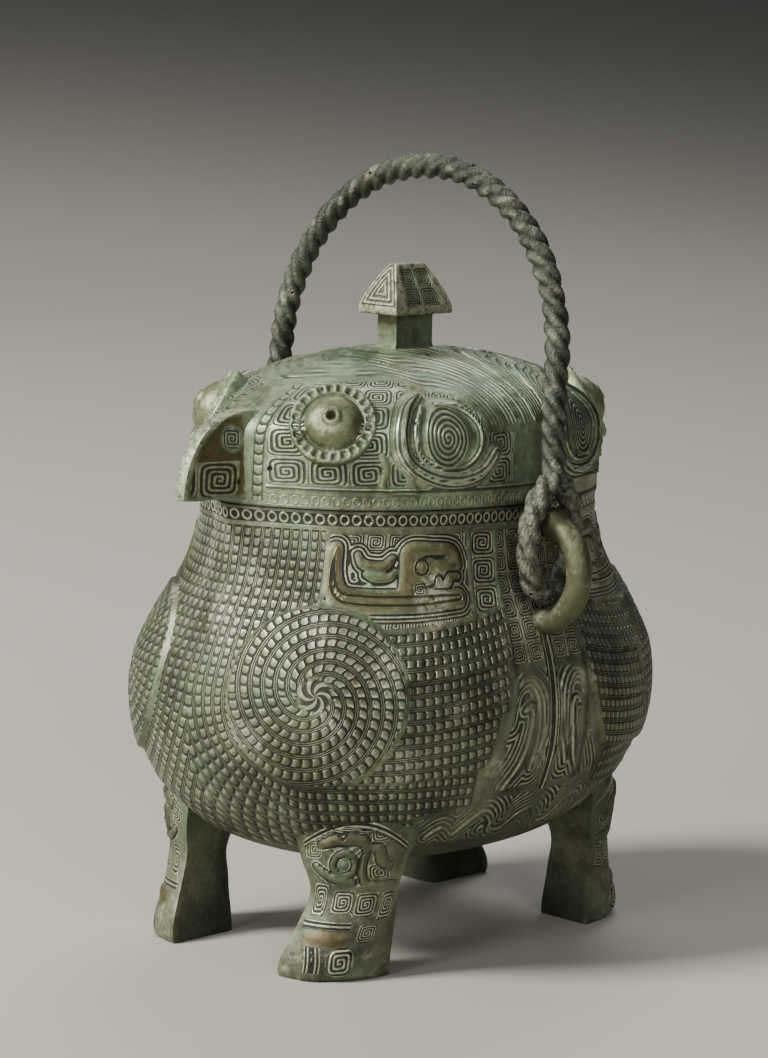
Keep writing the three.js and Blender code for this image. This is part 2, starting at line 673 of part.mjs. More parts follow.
function makeLid() {
  const heights = profileHeights(LID_PROFILE, LID_ROWS, LID_BOTTOM, LID_HEIGHT);
  const dome = solid(skin(sections(heights, LID_SECTORS, lidPoint)));
  const hollowHeight = LID_HEIGHT - LID_WALL;
  const hollowShare = (height) => LID_BOTTOM + (height - LID_BOTTOM) * (LID_HEIGHT / hollowHeight);
  const hollowPoint = (turn, height) => {
    const point = lidPoint(turn, Math.max(hollowShare(height), LID_BOTTOM), LID_WALL);
    return new THREE.Vector3(point.x, point.y, height);
  };
  const hollowHeights = profileHeights(LID_PROFILE, HOLLOW_ROWS, LID_BOTTOM, hollowHeight);
  const below = (turn, height) => hollowPoint(turn, LID_BOTTOM).setZ(height);
  const hollow = solid(skin([
    ...sections([LID_BOTTOM - LIP_HEIGHT], LID_SECTORS, below),
    ...sections(hollowHeights, LID_SECTORS, hollowPoint),
  ]));
  const forms = QUARTERS.flatMap((quarter) => [owlEye(quarter), ...horn(quarter)]);
  return join([dome, beak(-1), beak(1), ...forms, ...knob()]).subtract(hollow);
}

function makeHandle() {
  return join([ropeBail(), ropeEye(-1), ropeEye(1)]);
}

const vessel = pieceMesh('vessel', makeVessel(), COLOURS.body, 0.7);
const lid = pieceMesh('lid', makeLid(), COLOURS.lid, 0.7);
const handle = pieceMesh('handle', makeHandle(), COLOURS.handle, 0.65);
// The handle's eyes ride on the rings' outer side, as far up as the ring reaches there
handle.position.z = RING_CENTRE_Z + Math.sqrt(RING_RADIUS ** 2 - (EYE_SIDE - RING_CENTRE_Y) ** 2);
handle.rotation.y = THREE.MathUtils.degToRad(HANDLE_LEAN);

const owlVessel = new THREE.Group();
owlVessel.add(vessel, lid, handle);

export default owlVessel;
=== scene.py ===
"""Looks of a cast bronze wine vessel in the form of two owls back to back, with a lid and a rope handle.

The owls face along -X and +X, and the rings that hold the handle stand out along -Y and +Y.
Sizes are in millimetres until a mesh is written. Every mesh is in metres, in the frame's own axes.
A turn is in degrees round the vessel from -X towards -Y, and a fold is the turn from the nearer beak,
so the four quarters of the vessel share one carving.
"""

import logging
import math
from dataclasses import dataclass
from enum import Enum
from typing import Callable

import bpy
import numpy as np
from bpy.types import Material, NodeSocket, NodeTree, Object
from mathutils import Matrix, Vector


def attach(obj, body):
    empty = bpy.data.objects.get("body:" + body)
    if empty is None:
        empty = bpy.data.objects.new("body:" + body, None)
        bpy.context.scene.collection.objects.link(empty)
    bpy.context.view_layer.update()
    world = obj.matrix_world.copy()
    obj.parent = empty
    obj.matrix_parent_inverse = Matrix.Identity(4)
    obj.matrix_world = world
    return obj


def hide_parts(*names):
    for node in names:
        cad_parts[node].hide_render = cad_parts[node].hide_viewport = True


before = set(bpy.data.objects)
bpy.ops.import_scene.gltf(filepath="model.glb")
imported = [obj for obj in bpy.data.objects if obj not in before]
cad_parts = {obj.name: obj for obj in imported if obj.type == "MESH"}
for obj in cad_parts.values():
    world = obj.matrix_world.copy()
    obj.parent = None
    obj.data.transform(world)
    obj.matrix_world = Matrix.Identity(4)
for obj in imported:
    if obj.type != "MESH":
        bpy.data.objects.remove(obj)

MM = 0.001
OFF = -9.0
INSIDE = 2
# Tone channels: olive bronze, pale crust, and dark stains that also carry painted shade
OLIVE, CRUST, STAIN_AND_SHADE = range(3)
HALF_LINE = 0.85
BACKWARDS = slice(None, None, -1)
COIL_ARMS = 6
COIL_PITCH = 4.2
SOFT = {"interpolation_type": "SMOOTHSTEP"}
SIDES = (-1, 1)
QUARTERS = ((1, 1), (1, -1), (-1, -1), (-1, 1))

log = logging.getLogger("owl vessel")


class Carving(Enum):
    """Patterns that a point of the surface can carry, each with its own coordinates on the mesh."""

    ROWS = "rows"
    COIL = "coil"
    SQUARES = "squares"
    LINES = "lines"
    BAND = "band"


# Reading and measuring


def smooth(value: np.ndarray, low: float, high: float) -> np.ndarray:
    """Rise from 0 to 1 without a corner between two values."""
    share = np.clip((value - low) / (high - low), 0, 1)
    return share * share * (3 - 2 * share)


def least(*values: np.ndarray) -> np.ndarray:
    """The least of several values at each point: where all of the fields hold."""
    return np.minimum.reduce(np.broadcast_arrays(*values))


def unit(vectors: np.ndarray) -> np.ndarray:
    """Vectors brought to length one."""
    return vectors / np.maximum(np.linalg.norm(vectors, axis=-1, keepdims=True), 1e-9)


def fold_of(turn: np.ndarray) -> np.ndarray:
    """Degrees between a turn and the nearer beak."""
    rest = np.abs(turn) % 180
    return np.minimum(rest, 180 - rest)


def path_distance(across: np.ndarray, up: np.ndarray, places: tuple) -> np.ndarray:
    """Distance to the edge of a bar that follows a path.

    Args:
        across: The points' first coordinate, in mm.
        up: The points' second coordinate, in mm.
        places: The path's corners, each as (across, up, width), in mm.

    Returns:
        Distances in mm, negative inside the bar.
    """
    best = np.full(across.shape, 99.0)
    for (ax, ay, aw), (bx, by, bw) in zip(places[:-1], places[1:]):
        dx, dy = bx - ax, by - ay
        share = np.clip(((across - ax) * dx + (up - ay) * dy) / (dx * dx + dy * dy), 0, 1)
        away = np.hypot(across - ax - share * dx, up - ay - share * dy)
        best = np.minimum(best, away - (aw + share * (bw - aw)) / 2)
    return best


def curve_distance(across: np.ndarray, up: np.ndarray, *paths: tuple) -> np.ndarray:
    """Distance to the edge of the nearest of several curved bars, as for one path."""
    return least(*[path_distance(across, up, smooth_places(places)) for places in paths])


def smooth_places(places: tuple, count: int = 8) -> tuple:
    """Places of a Catmull-Rom curve through a few places.

    Args:
        places: The places, as rows of numbers.
        count: Steps between two places.

    Returns:
        The finer places, as rows of numbers.
    """
    rows = np.array(places, float)
    ends = np.vstack([rows[:1], rows, rows[-1:]])
    fine = []
    for i in range(len(rows) - 1):
        before, start, stop, after = ends[i:i + 4]
        for t in np.arange(count) / count:
            pull, push = (stop - before) / 2, (after - start) / 2
            cubic = (2 * start - 2 * stop + pull + push) * t ** 3
            square = (-3 * start + 3 * stop - 2 * pull - push) * t ** 2
            fine.append(cubic + square + pull * t + start)
    fine.append(rows[-1])
    return tuple(tuple(row) for row in fine)


def grain(points: np.ndarray, size: float, seed: int) -> np.ndarray:
    """Slow unevenness of a hand-finished casting, from a few waves in fixed directions.

    Args:
        points: Points in mm.
        size: Rough size of a bump, in mm.
        seed: Number that fixes the directions.

    Returns:
        Values of about -1 to 1.
    """
    chance = np.random.default_rng(seed)
    total = np.zeros(points.shape[:-1])
    for _ in range(7):
        wave = unit(chance.normal(size=3)) * (2 * math.pi / size) * chance.uniform(0.6, 1.5)
        total += np.sin(points @ wave + chance.uniform(0, 6.28))
    return total / 4.5


@dataclass(frozen=True)
class Profile:
    """Half-widths of a turned form, as shares of its height and width, along a smooth curve."""

    places: tuple

    def curve(self) -> np.ndarray:
        """Finely spaced points of the curve."""
        return np.array(smooth_places(self.places, 20))

    def width(self, share: np.ndarray) -> np.ndarray:
        """Share of the half-width at shares of the height."""
        points = self.curve()
        return np.interp(share, points[:, 0], points[:, 1])

    def steps(self, height: float, half_width: float, pitch: float) -> np.ndarray:
        """Shares of the height that lie about a pitch apart along the wall."""
        points = self.curve() * (height, half_width)
        along = np.concatenate([[0], np.cumsum(np.hypot(*np.diff(points, axis=0).T))])
        count = round(along[-1] / pitch)
        return np.interp(np.linspace(0, along[-1], count + 1), along, points[:, 0]) / height


def oval(turn: np.ndarray, height: np.ndarray, half_width: np.ndarray, exponent: np.ndarray) -> np.ndarray:
    """Points of oval sections, from turn, height, half-width and the fullness of the oval."""
    angle = np.radians(turn)
    x, y = np.cos(angle), np.sin(angle)
    total = np.abs(x / (half_width * 1.322)) ** exponent + np.abs(y / half_width) ** exponent
    reach = total ** (-1 / exponent)
    return np.stack(np.broadcast_arrays(-reach * x, -reach * y, height), -1)


def pushed_out(points: np.ndarray, reach: np.ndarray) -> np.ndarray:
    """Points moved straight out from the upright axis."""
    flat = unit(points * (1, 1, 0))
    return points + flat * reach[..., None]


def face_frame(wall: Callable, turn: float, height: float) -> tuple:
    """Middle of a form on a wall, and its directions: outward, aside and up the slope.

    Args:
        wall: Function that gives the wall's points from turns and heights.
        turn: Degrees from -X towards -Y.
        height: Height in mm.

    Returns:
        The middle in mm, and three unit directions.
    """
    step = wall(turn + 1, height) - wall(turn - 1, height)
    lift = wall(turn, height + 1) - wall(turn, height - 1)
    normal = unit(np.cross(step, lift))
    aside = unit(np.cross((0, 0, 1), normal))
    return wall(turn, height), normal, aside, np.cross(normal, aside)


def grid_normals(points: np.ndarray) -> np.ndarray:
    """Normals of a grid of points whose first and last columns meet."""
    around = np.empty_like(points)
    around[:, 1:-1] = points[:, 2:] - points[:, :-2]
    around[:, 0] = around[:, -1] = points[:, 1] - points[:, -2]
    return unit(np.cross(around, np.gradient(points, axis=0)))


# Carving


@dataclass
class Ornament:
    """What each point of a surface carries: relief in mm, pattern coordinates and tones.

    Each pattern's third number is how far inside its field the point lies, in mm, or OFF.
    A tone holds three shares: smooth olive bronze, pale crust, and dark stains with painted shade.
    """

    rise: np.ndarray
    fields: dict
    tone: np.ndarray

    @classmethod
    def plain(cls, shape: tuple) -> "Ornament":
        """An uncarved surface of that many points."""
        fields = {kind: np.zeros((*shape, 3)) for kind in Carving}
        for values in fields.values():
            values[..., INSIDE] = OFF
        return cls(np.zeros(shape), fields, np.zeros((*shape, 3)))

    def place(self, kind: Carving, first: np.ndarray, second: np.ndarray, inside: np.ndarray) -> None:
        """Set a pattern where it lies further inside its field than what is there.

        Args:
            kind: The pattern.
            first: First pattern coordinate.
            second: Second pattern coordinate.
            inside: Distance inside the pattern's field, in mm.
        """
        field = self.fields[kind]
        better = inside > field[..., INSIDE]
        new = np.stack(np.broadcast_arrays(first, second, inside), -1)
        field[better] = new[better]

    def scroll(self, across: np.ndarray, up: np.ndarray, box: tuple, field: np.ndarray) -> None:
        """Carve one square spiral.

        Args:
            across: The points' first coordinate, in mm.
            up: The points' second coordinate, in mm.
            box: Middle across and up, width and height of the spiral, in mm.
            field: How far inside the carved field the points lie, in mm.
        """
        middle, level, width, height = box
        first, second = (across - middle) / width, (up - level) / height
        inside = np.minimum(width / 2 - np.abs(across - middle), height / 2 - np.abs(up - level)) + 0.6
        self.place(Carving.SQUARES, first + 0.5, second + 0.5, np.minimum(field, inside))

    def incise(self, edge: np.ndarray, field: np.ndarray) -> None:
        """Cut one fine groove along an edge, from the signed distance to it and the field it lies in."""
        self.outline(edge + HALF_LINE, np.minimum(field, 1.4 - np.abs(edge)))

    def ridges(self, kind: Carving, row: np.ndarray, bead: np.ndarray, rise: float) -> None:
        """Raise rows of scales in the mesh itself, as far as its points can carry them.

        Args:
            kind: The pattern whose field the rows fill.
            row: Row coordinate, whole at the edge between two rows.
            bead: Scale coordinate along the row.
            rise: Height of a scale's middle, in mm.
        """
        inside = smooth(self.fields[kind][..., INSIDE], 0.5, 1.3)
        crest = 0.5 - 0.5 * np.cos(2 * math.pi * row)
        self.rise += inside * rise * crest * (0.7 - 0.3 * np.cos(2 * math.pi * bead))

    def capped(self) -> "Ornament":
        """The same carving with its first and last rows doubled, for the poles of a closed piece."""
        return self.picked(np.r_[0, 0:len(self.rise), -1], slice(None))

    def picked(self, rows: np.ndarray, columns: slice) -> "Ornament":
        """The carving of some rows and columns, in their order."""
        fields = {kind: values[rows][:, columns] for kind, values in self.fields.items()}
        return Ornament(self.rise[rows][:, columns], fields, self.tone[rows][:, columns])

    def outline(self, distance: np.ndarray, field: np.ndarray) -> None:
        """Run fine lines along forms, from the distance to their edges and the field they lie in."""
        self.place(Carving.LINES, distance, 0 * distance, field)

    def within(self, rows: int, first: int) -> "Ornament":
        """The same carving on a taller grid, which is plain before and after it.

        Args:
            rows: Rows of the taller grid.
            first: Row at which the carving starts.

        Returns:
            The pattern coordinates and tones of the taller grid.
        """
        whole = Ornament.plain((rows, self.rise.shape[1]))
        place = slice(first, first + len(self.rise))
        for kind in Carving:
            whole.fields[kind][place] = self.fields[kind]
        whole.tone[place] = self.tone
        return whole

    def edge(self, distance: np.ndarray, rise: float, width: float = 0.8) -> None:
        """Raise a fillet line where a distance in mm is near zero."""
        self.rise += rise * np.exp(-(distance / width) ** 2)


class Shell:
    """Closed mesh from a grid of points, made from Blender's own grid."""

    @staticmethod
    def make(name: str, points: np.ndarray, ornament: Ornament) -> Object:
        """Lay a grid over rows of points, close its seam and poles, and store its carving.

        Args:
            name: Name of the object.
            points: Rows of points in mm. The first and last columns meet.
            ornament: Carving of the points, whose relief is in the points already.

        Returns:
            The closed object, at the origin.
        """
        rows, columns = points.shape[:2]
        bpy.ops.object.select_all(action="DESELECT")
        bpy.ops.mesh.primitive_grid_add(x_subdivisions=columns - 1, y_subdivisions=rows - 1, size=1)
        piece = bpy.context.object
        piece.name = name
        mesh = piece.data
        while mesh.uv_layers:
            mesh.uv_layers.remove(mesh.uv_layers[0])
        mesh.vertices.foreach_set("co", (points * MM).astype(np.float32).ravel())
        for kind in Carving:
            layer = mesh.attributes.new(kind.value, "FLOAT_VECTOR", "POINT")
            layer.data.foreach_set("vector", ornament.fields[kind].astype(np.float32).ravel())
        layer = mesh.attributes.new("tone", "FLOAT_VECTOR", "POINT")
        layer.data.foreach_set("vector", ornament.tone.astype(np.float32).ravel())
        mesh.update()
        bpy.ops.object.mode_set(mode="EDIT")
        bpy.ops.mesh.select_all(action="SELECT")
        bpy.ops.mesh.remove_doubles(threshold=1e-6)
        bpy.ops.object.mode_set(mode="OBJECT")
        return piece

    @staticmethod
    def mirrored(name: str, points: np.ndarray, ornament: Ornament, quarter: tuple) -> Object:
        """Make a piece in its quarter from the one at -X and -Y, with its faces still outward.

        Args:
            name: Name of the object.
            points: Rows of points in mm, in the quarter at -X and -Y.
            ornament: Carving of the points.
            quarter: Signs that take that quarter to the piece's own.

        Returns:
            The closed object.
        """
        points = points * (*quarter, 1)
        points[:, -1] = points[:, 0]
        if quarter[0] * quarter[1] < 0:
            points = points[:, BACKWARDS]
            ornament = ornament.picked(slice(None), BACKWARDS)
        return Shell.make(name, points, ornament)

    @staticmethod
    def turn_outward() -> None:
        """Make the faces of the object at hand look outward."""
        bpy.ops.object.mode_set(mode="EDIT")
        bpy.ops.mesh.select_all(action="SELECT")
        bpy.ops.mesh.normals_make_consistent(inside=False)
        bpy.ops.object.mode_set(mode="OBJECT")


def pole(point: tuple, columns: int) -> np.ndarray:
    """Row of points that all lie in one place, which closes the end of a grid."""
    return np.tile(np.array(point, float), (1, columns, 1))


def joined(pieces: list, name: str, edge_angle: float, finish: Material) -> Object:
    """Join objects into one, with smooth faces up to an edge angle in degrees.

    Args:
        pieces: The objects.
        name: Name of the joined object.
        edge_angle: Edges sharper than this stay sharp, in degrees.
        finish: The material that dresses it.

    Returns:
        The joined object.
    """
    bpy.ops.object.select_all(action="DESELECT")
    for piece in pieces:
        piece.select_set(True)
    bpy.context.view_layer.objects.active = pieces[0]
    bpy.ops.object.join()
    whole = bpy.context.object
    whole.name = name
    whole.data.name = name
    whole.data.materials.clear()
    whole.data.materials.append(finish)
    bpy.ops.object.shade_smooth_by_angle(angle=math.radians(edge_angle))
    return whole


def sweep(name: str, centres: np.ndarray, outs: np.ndarray, sides: np.ndarray, section: np.ndarray,
          tone: tuple = (0, 0, 0), gap_dirt_and_shade: float = 0.0, round_trip: bool = False) -> Object:
    """Draw a section along a path.

    Args:
        name: Name of the object.
        centres: Points of the path, in mm.
        outs: First unit direction of the section at each point.
        sides: Second unit direction of the section at each point.
        section: For each point, rows of (out, side) places in mm, with the first repeated at the end.
        tone: Shares of olive, crust, and dark stains with painted shade.
        gap_dirt_and_shade: Share of dirt and painted shade where the section is narrowest, in the gaps
            between strands.
        round_trip: True where the path closes on itself.

    Returns:
        The closed object.
    """
    points = centres[:, None] + section[..., :1] * outs[:, None] + section[..., 1:] * sides[:, None]
    if not round_trip:
        columns = points.shape[1]
        points = np.concatenate([pole(centres[0], columns), points, pole(centres[-1], columns)])
    points = points + grid_normals(points) * (grain(points, 4.0, 5) * 0.07)[..., None]
    points[:, -1] = points[:, 0]
    if round_trip:
        points[-1] = points[0]
    carved = Ornament.plain(points.shape[:2])
    carved.tone[:] = tone
    dusty = 0.4 * smooth(grain(points, 9.0, 6), 0.1, 0.8)
    carved.tone[..., CRUST] = np.maximum(carved.tone[..., CRUST], dusty)
    reach = np.linalg.norm(section, axis=-1)
    narrow = (reach.max() - reach) / np.ptp(reach) if gap_dirt_and_shade else 0 * reach
    rows = slice(None) if round_trip else slice(1, -1)
    # Painted shade and dirt in the gaps between the strands
    carved.tone[rows, :, STAIN_AND_SHADE] += gap_dirt_and_shade * smooth(narrow, 0.4, 0.95)
    return Shell.make(name, points, carved)


# Materials


def linear(colour: str) -> tuple:
    """Linear colour, with alpha, from an sRGB hex value."""
    parts = [int(colour[i:i + 2], 16) / 255 for i in (1, 3, 5)]
    return (*[c / 12.92 if c <= 0.04045 else ((c + 0.055) / 1.055) ** 2.4 for c in parts], 1.0)


def add(tree: NodeTree, kind: str, inputs: tuple = (),
        **settings: object) -> NodeSocket:
    """Add a node with its settings and links.

    Args:
        tree: The node tree.
        kind: Blender's name for the node.
        inputs: Values or sockets for the node's inputs in order. None leaves one as it is.
        settings: Other properties of the node.

    Returns:
        The node's first output, or the node itself where it has none.
    """
    node = tree.nodes.new("ShaderNode" + kind)
    for key, value in settings.items():
        setattr(node, key, value)
    for i, value in enumerate(inputs):
        if isinstance(value, NodeSocket):
            tree.links.new(value, node.inputs[i])
        elif value is not None:
            node.inputs[i].default_value = value
    return node.outputs[0] if node.outputs else node


def layered(tree: NodeTree, colour: NodeSocket,
            *layers: tuple) -> NodeSocket:
    """Lay colours over a first one.

    Args:
        tree: The material's nodes.
        colour: The colour that lies lowest.
        layers: For each colour laid over it, the share that it covers and its sRGB hex value.

    Returns:
        The colour that is seen.
    """
    for share, over in layers:
        inputs = (share, None, None, None, None, None, colour, linear(over))
        colour = add(tree, "Mix", inputs, data_type="RGBA").node.outputs[2]
    return colour


def off_middle(tree: NodeTree, row: NodeSocket) -> NodeSocket:
    """Distance from the middle of the nearest row, 0 to 0.5, from a row coordinate."""
    share = add(tree, "Math", (row,), operation="FRACT")
    share = add(tree, "Math", (share, 0.5), operation="SUBTRACT")
    return add(tree, "Math", (share,), operation="ABSOLUTE")


@dataclass(frozen=True)
class CarvedBronze:
    """Cast tin bronze under a green burial patina.

    The eye sees a dull, slightly waxy green skin, dark earth left in the carving along with painted shade,
    paler worn edges with painted highlights on the carving's tops, some brown bronze where the patina is
    thin, and chalky crusts. Sizes are in mm.
    """

    name: str
    deep: str
    pale: str
    mint: str
    olive: str
    crust: str
    soil_and_shade: str
    wear_and_highlight: str
    coil_arms: int = 1
    coil_pitch: float = 1.6
    coil_beaded: bool = False
    roughness: float = 0.44
    metallic: float = 0.55
    line_pitch: float = 1.7
    spiral_turns: float = 4.0
    carvings: tuple = tuple(Carving)
    bead_rise: float = 0.85
    bead_half_width: float = 0.305
    bead_half_length: float = 0.395
    line_place: float = 0.42
    bead_soil_and_shade: float = 0.8
    fleck_rise: float = 0.22
    line_rise: float = 0.5
    soil_and_shade_share: float = 0.84
    wear_and_highlight_share: float = 0.72
    patch_size: float = 24.0
    fleck_size: float = 2.2
    grit_size: float = 0.45
    pit_spacing: float = 5.5
    pit_share: float = 0.0

    def beads(self, tree: NodeTree, row: NodeSocket,
              bead: NodeSocket) -> NodeSocket:
        """Rows of rounded scales, with a pair of fine lines between two rows.

        Args:
            tree: The material's nodes.
            row: Row coordinate, whole at the edge between two rows.
            bead: Scale coordinate along the row.

        Returns:
            Height from 0 to 1.
        """
        across = off_middle(tree, row)
        along = add(tree, "Math", (bead,), operation="FRACT")
        along = add(tree, "Math", (along, 0.5), operation="SUBTRACT")
        wide = add(tree, "Math", (across, self.bead_half_width), operation="DIVIDE")
        wide = add(tree, "Math", (wide, 3.4), operation="POWER")
        # One end of a scale bulges and the other is hollow, so that it seems to lie under the next
        bulge = add(tree, "Math", (across, across), operation="MULTIPLY")
        long = add(tree, "Math", (bulge, 1.5, along), operation="MULTIPLY_ADD")
        long = add(tree, "Math", (long,), operation="ABSOLUTE")
        long = add(tree, "Math", (long, self.bead_half_length), operation="DIVIDE")
        long = add(tree, "Math", (long, 4.0), operation="POWER")
        size = add(tree, "Math", (wide, long), operation="ADD")
        scale = add(tree, "MapRange", (size, 0.35, 1.5, 1.0, 0.0), **SOFT)
        lip = add(tree, "MapRange", (along, -0.4, 0.4, 1.0, 0.55))
        scale = add(tree, "Math", (scale, lip), operation="MULTIPLY")
        off_line = add(tree, "Math", (across, self.line_place), operation="SUBTRACT")
        off_line = add(tree, "Math", (off_line,), operation="ABSOLUTE")
        line = add(tree, "MapRange", (off_line, 0.022, 0.055, 0.78, 0.0), **SOFT)
        return add(tree, "Math", (scale, line), operation="MAXIMUM")

    def coil(self, tree: NodeTree, across: NodeSocket,
             up: NodeSocket) -> NodeSocket:
        """Arms that wind out from a middle, beaded on the wing and bare on the horn.

        Args:
            tree: The material's nodes.
            across: Distance from the middle along the surface, in mm.
            up: Distance from the middle up the surface, in mm.

        Returns:
            Height from 0 to 1.
        """
        radius = add(tree, "Math", (across, across), operation="MULTIPLY")
        square = add(tree, "Math", (up, up), operation="MULTIPLY")
        radius = add(tree, "Math", (radius, square), operation="ADD")
        radius = add(tree, "Math", (radius,), operation="SQRT")
        angle = add(tree, "Math", (up, across), operation="ARCTAN2")
        wound = add(tree, "Math", (angle, self.coil_arms / (2 * math.pi)), operation="MULTIPLY")
        row = add(tree, "Math", (radius, self.coil_pitch), operation="DIVIDE")
        row = add(tree, "Math", (row, wound), operation="ADD")
        off_line = off_middle(tree, row)
        bare = add(tree, "MapRange", (off_line, 0.18, 0.34, 0.0, 1.0), **SOFT)
        if not self.coil_beaded:
            return bare
        # Length along one arm, so that its scales keep one size all the way out
        arm = add(tree, "Math", (row,), operation="FLOOR")
        square = add(tree, "Math", (angle, angle), operation="MULTIPLY")
        back = add(tree, "Math", (square, self.coil_arms / (4 * math.pi)), operation="MULTIPLY")
        along = add(tree, "Math", (arm, 0.5), operation="ADD")
        along = add(tree, "Math", (along, angle), operation="MULTIPLY")
        along = add(tree, "Math", (along, back), operation="SUBTRACT")
        along = add(tree, "Math", (along, self.coil_pitch / 3.2), operation="MULTIPLY")
        beaded = self.beads(tree, row, along)
        middle = add(tree, "MapRange", (radius, 4.5, 6.5, 0.0, 1.0))
        return add(tree, "Mix", (middle, None, bare, beaded), data_type="FLOAT")

    def squares(self, tree: NodeTree, cell: NodeSocket) -> NodeSocket:
        """Rounded square spirals, one to a cell.

        Args:
            tree: The material's nodes.
            cell: Vector of the cell coordinates, whole at the edge between two cells.

        Returns:
            Height from 0 to 1.
        """
        place = add(tree, "VectorMath", (cell,), operation="FRACTION")
        place = add(tree, "VectorMath", (place, (0.5, 0.5, 0.0)), operation="SUBTRACT")
        parts = add(tree, "SeparateXYZ", (place,)).node
        angle = add(tree, "Math", (parts.outputs[1], parts.outputs[0]), operation="ARCTAN2")
        sides = add(tree, "VectorMath", (place,), operation="ABSOLUTE")
        sides = add(tree, "SeparateXYZ", (sides,)).node
        wide = add(tree, "Math", (sides.outputs[0], 5.0), operation="POWER")
        tall = add(tree, "Math", (sides.outputs[1], 5.0), operation="POWER")
        reach = add(tree, "Math", (wide, tall), operation="ADD")
        reach = add(tree, "Math", (reach, 0.2), operation="POWER")
        turns = add(tree, "Math", (angle, 1 / (2 * math.pi)), operation="MULTIPLY")
        row = add(tree, "Math", (reach, self.spiral_turns / 0.5), operation="MULTIPLY")
        row = add(tree, "Math", (row, turns), operation="ADD")
        off_line = off_middle(tree, row)
        line = add(tree, "MapRange", (off_line, 0.14, 0.32, 0.0, 1.0), **SOFT)
        edge = add(tree, "MapRange", (reach, 0.455, 0.49, 0.0, 1.0), **SOFT)
        return add(tree, "Math", (line, edge), operation="MAXIMUM")

    def lines(self, tree: NodeTree, distance: NodeSocket) -> NodeSocket:
        """Fine parallel lines that keep a pitch apart."""
        row = add(tree, "Math", (distance, self.line_pitch), operation="DIVIDE")
        off_line = off_middle(tree, row)
        return add(tree, "MapRange", (off_line, 0.16, 0.34, 0.0, 1.0), **SOFT)

    def rings(self, tree: NodeTree, cell: NodeSocket) -> NodeSocket:
        """Small rings, one to a cell."""
        place = add(tree, "VectorMath", (cell,), operation="FRACTION")
        place = add(tree, "VectorMath", (place, (0.5, 0.5, 0.0)), operation="SUBTRACT")
        # The third coordinate says how far inside the field a point lies, and has no part in a ring
        place = add(tree, "VectorMath", (place, (1.0, 1.0, 0.0)), operation="MULTIPLY")
        reach = add(tree, "VectorMath", (place,), operation="LENGTH").node.outputs["Value"]
        off_line = add(tree, "Math", (reach, 0.33), operation="SUBTRACT")
        off_line = add(tree, "Math", (off_line,), operation="ABSOLUTE")
        return add(tree, "MapRange", (off_line, 0.05, 0.13, 1.0, 0.0), **SOFT)

    def build(self) -> Material:
        """The material, from the carving's coordinates on the mesh.

        Returns:
            The material, ready for a mesh that carries those coordinates.
        """
        material = bpy.data.materials.new(self.name)
        material.use_nodes = True
        tree = material.node_tree
        tree.nodes.clear()
        place = add(tree, "TexCoord").node.outputs["Object"]
        height, shade = 0.0, 0.0
        for kind in self.carvings:
            vector = add(tree, "Attribute", attribute_name=kind.value).node.outputs["Vector"]
            first, second, inside = add(tree, "SeparateXYZ", (vector,)).node.outputs
            rise = self.line_rise
            if kind is Carving.ROWS:
                drawn = self.beads(tree, first, second)
                rise = self.bead_rise
            elif kind is Carving.COIL:
                drawn = self.coil(tree, first, second)
                rise = self.bead_rise if self.coil_beaded else self.line_rise
            elif kind is Carving.SQUARES:
                drawn = self.squares(tree, vector)
            elif kind is Carving.LINES:
                drawn = self.lines(tree, first)
            else:
                drawn = self.rings(tree, vector)
            # The ground inside a field lies lower than the metal round it
            inner = add(tree, "MapRange", (inside, 0.55, 0.95, 0.0, 1.0), **SOFT)
            drawn = add(tree, "Math", (drawn, 0.55), operation="SUBTRACT")
            drawn = add(tree, "Math", (drawn, inner), operation="MULTIPLY")
            share = self.bead_soil_and_shade if rise == self.bead_rise else 1.0
            shade = add(tree, "Math", (drawn, share, shade), operation="MULTIPLY_ADD")
            height = add(tree, "Math", (drawn, rise, height), operation="MULTIPLY_ADD")
        tone = add(tree, "Attribute", attribute_name="tone").node.outputs["Vector"]
        tone = add(tree, "SeparateXYZ", (tone,)).node
        olive, crust, stain_and_shade = tone.outputs

        # Patina, from large clouds down to flecks and grit
        metres = 1 / MM
        patch = add(tree, "TexNoise", (place, None, metres / self.patch_size, 4.0, 0.6))
        spread = add(tree, "MapRange", (patch, 0.36, 0.62, 0.0, 1.0))
        colour = layered(tree, linear(self.deep), (spread, self.pale))
        cloud = add(tree, "VectorMath", (place, (0.31, 0.17, 0.07)), operation="ADD")
        cloud = add(tree, "TexNoise", (cloud, None, metres / (self.patch_size * 0.6), 5.0, 0.65))
        minty = add(tree, "MapRange", (cloud, 0.52, 0.68, 0.0, 0.75))
        brown = add(tree, "MapRange", (cloud, 0.44, 0.33, 0.0, 0.6))
        brown = add(tree, "Math", (brown, olive), operation="MAXIMUM")
        colour = layered(tree, colour, (minty, self.mint), (brown, self.olive))
        fleck = add(tree, "TexNoise", (place, None, metres / self.fleck_size, 5.0, 0.7))
        speck = add(tree, "MapRange", (fleck, 0.3, 0.7, 0.72, 1.25))
        colour = add(tree, "VectorMath", (colour, speck), operation="MULTIPLY")
        chalk = add(tree, "MapRange", (fleck, 0.6, 0.74, 0.0, 1.0))
        chalk = add(tree, "Math", (chalk, 0.35), operation="MULTIPLY")
        crusty = add(tree, "MapRange", (fleck, 0.38, 0.56, 0.0, 1.0))
        crusty = add(tree, "Math", (crusty, crust), operation="MULTIPLY")
        chalk = add(tree, "Math", (chalk, crusty), operation="MAXIMUM")
        colour = layered(tree, colour, (chalk, self.crust))

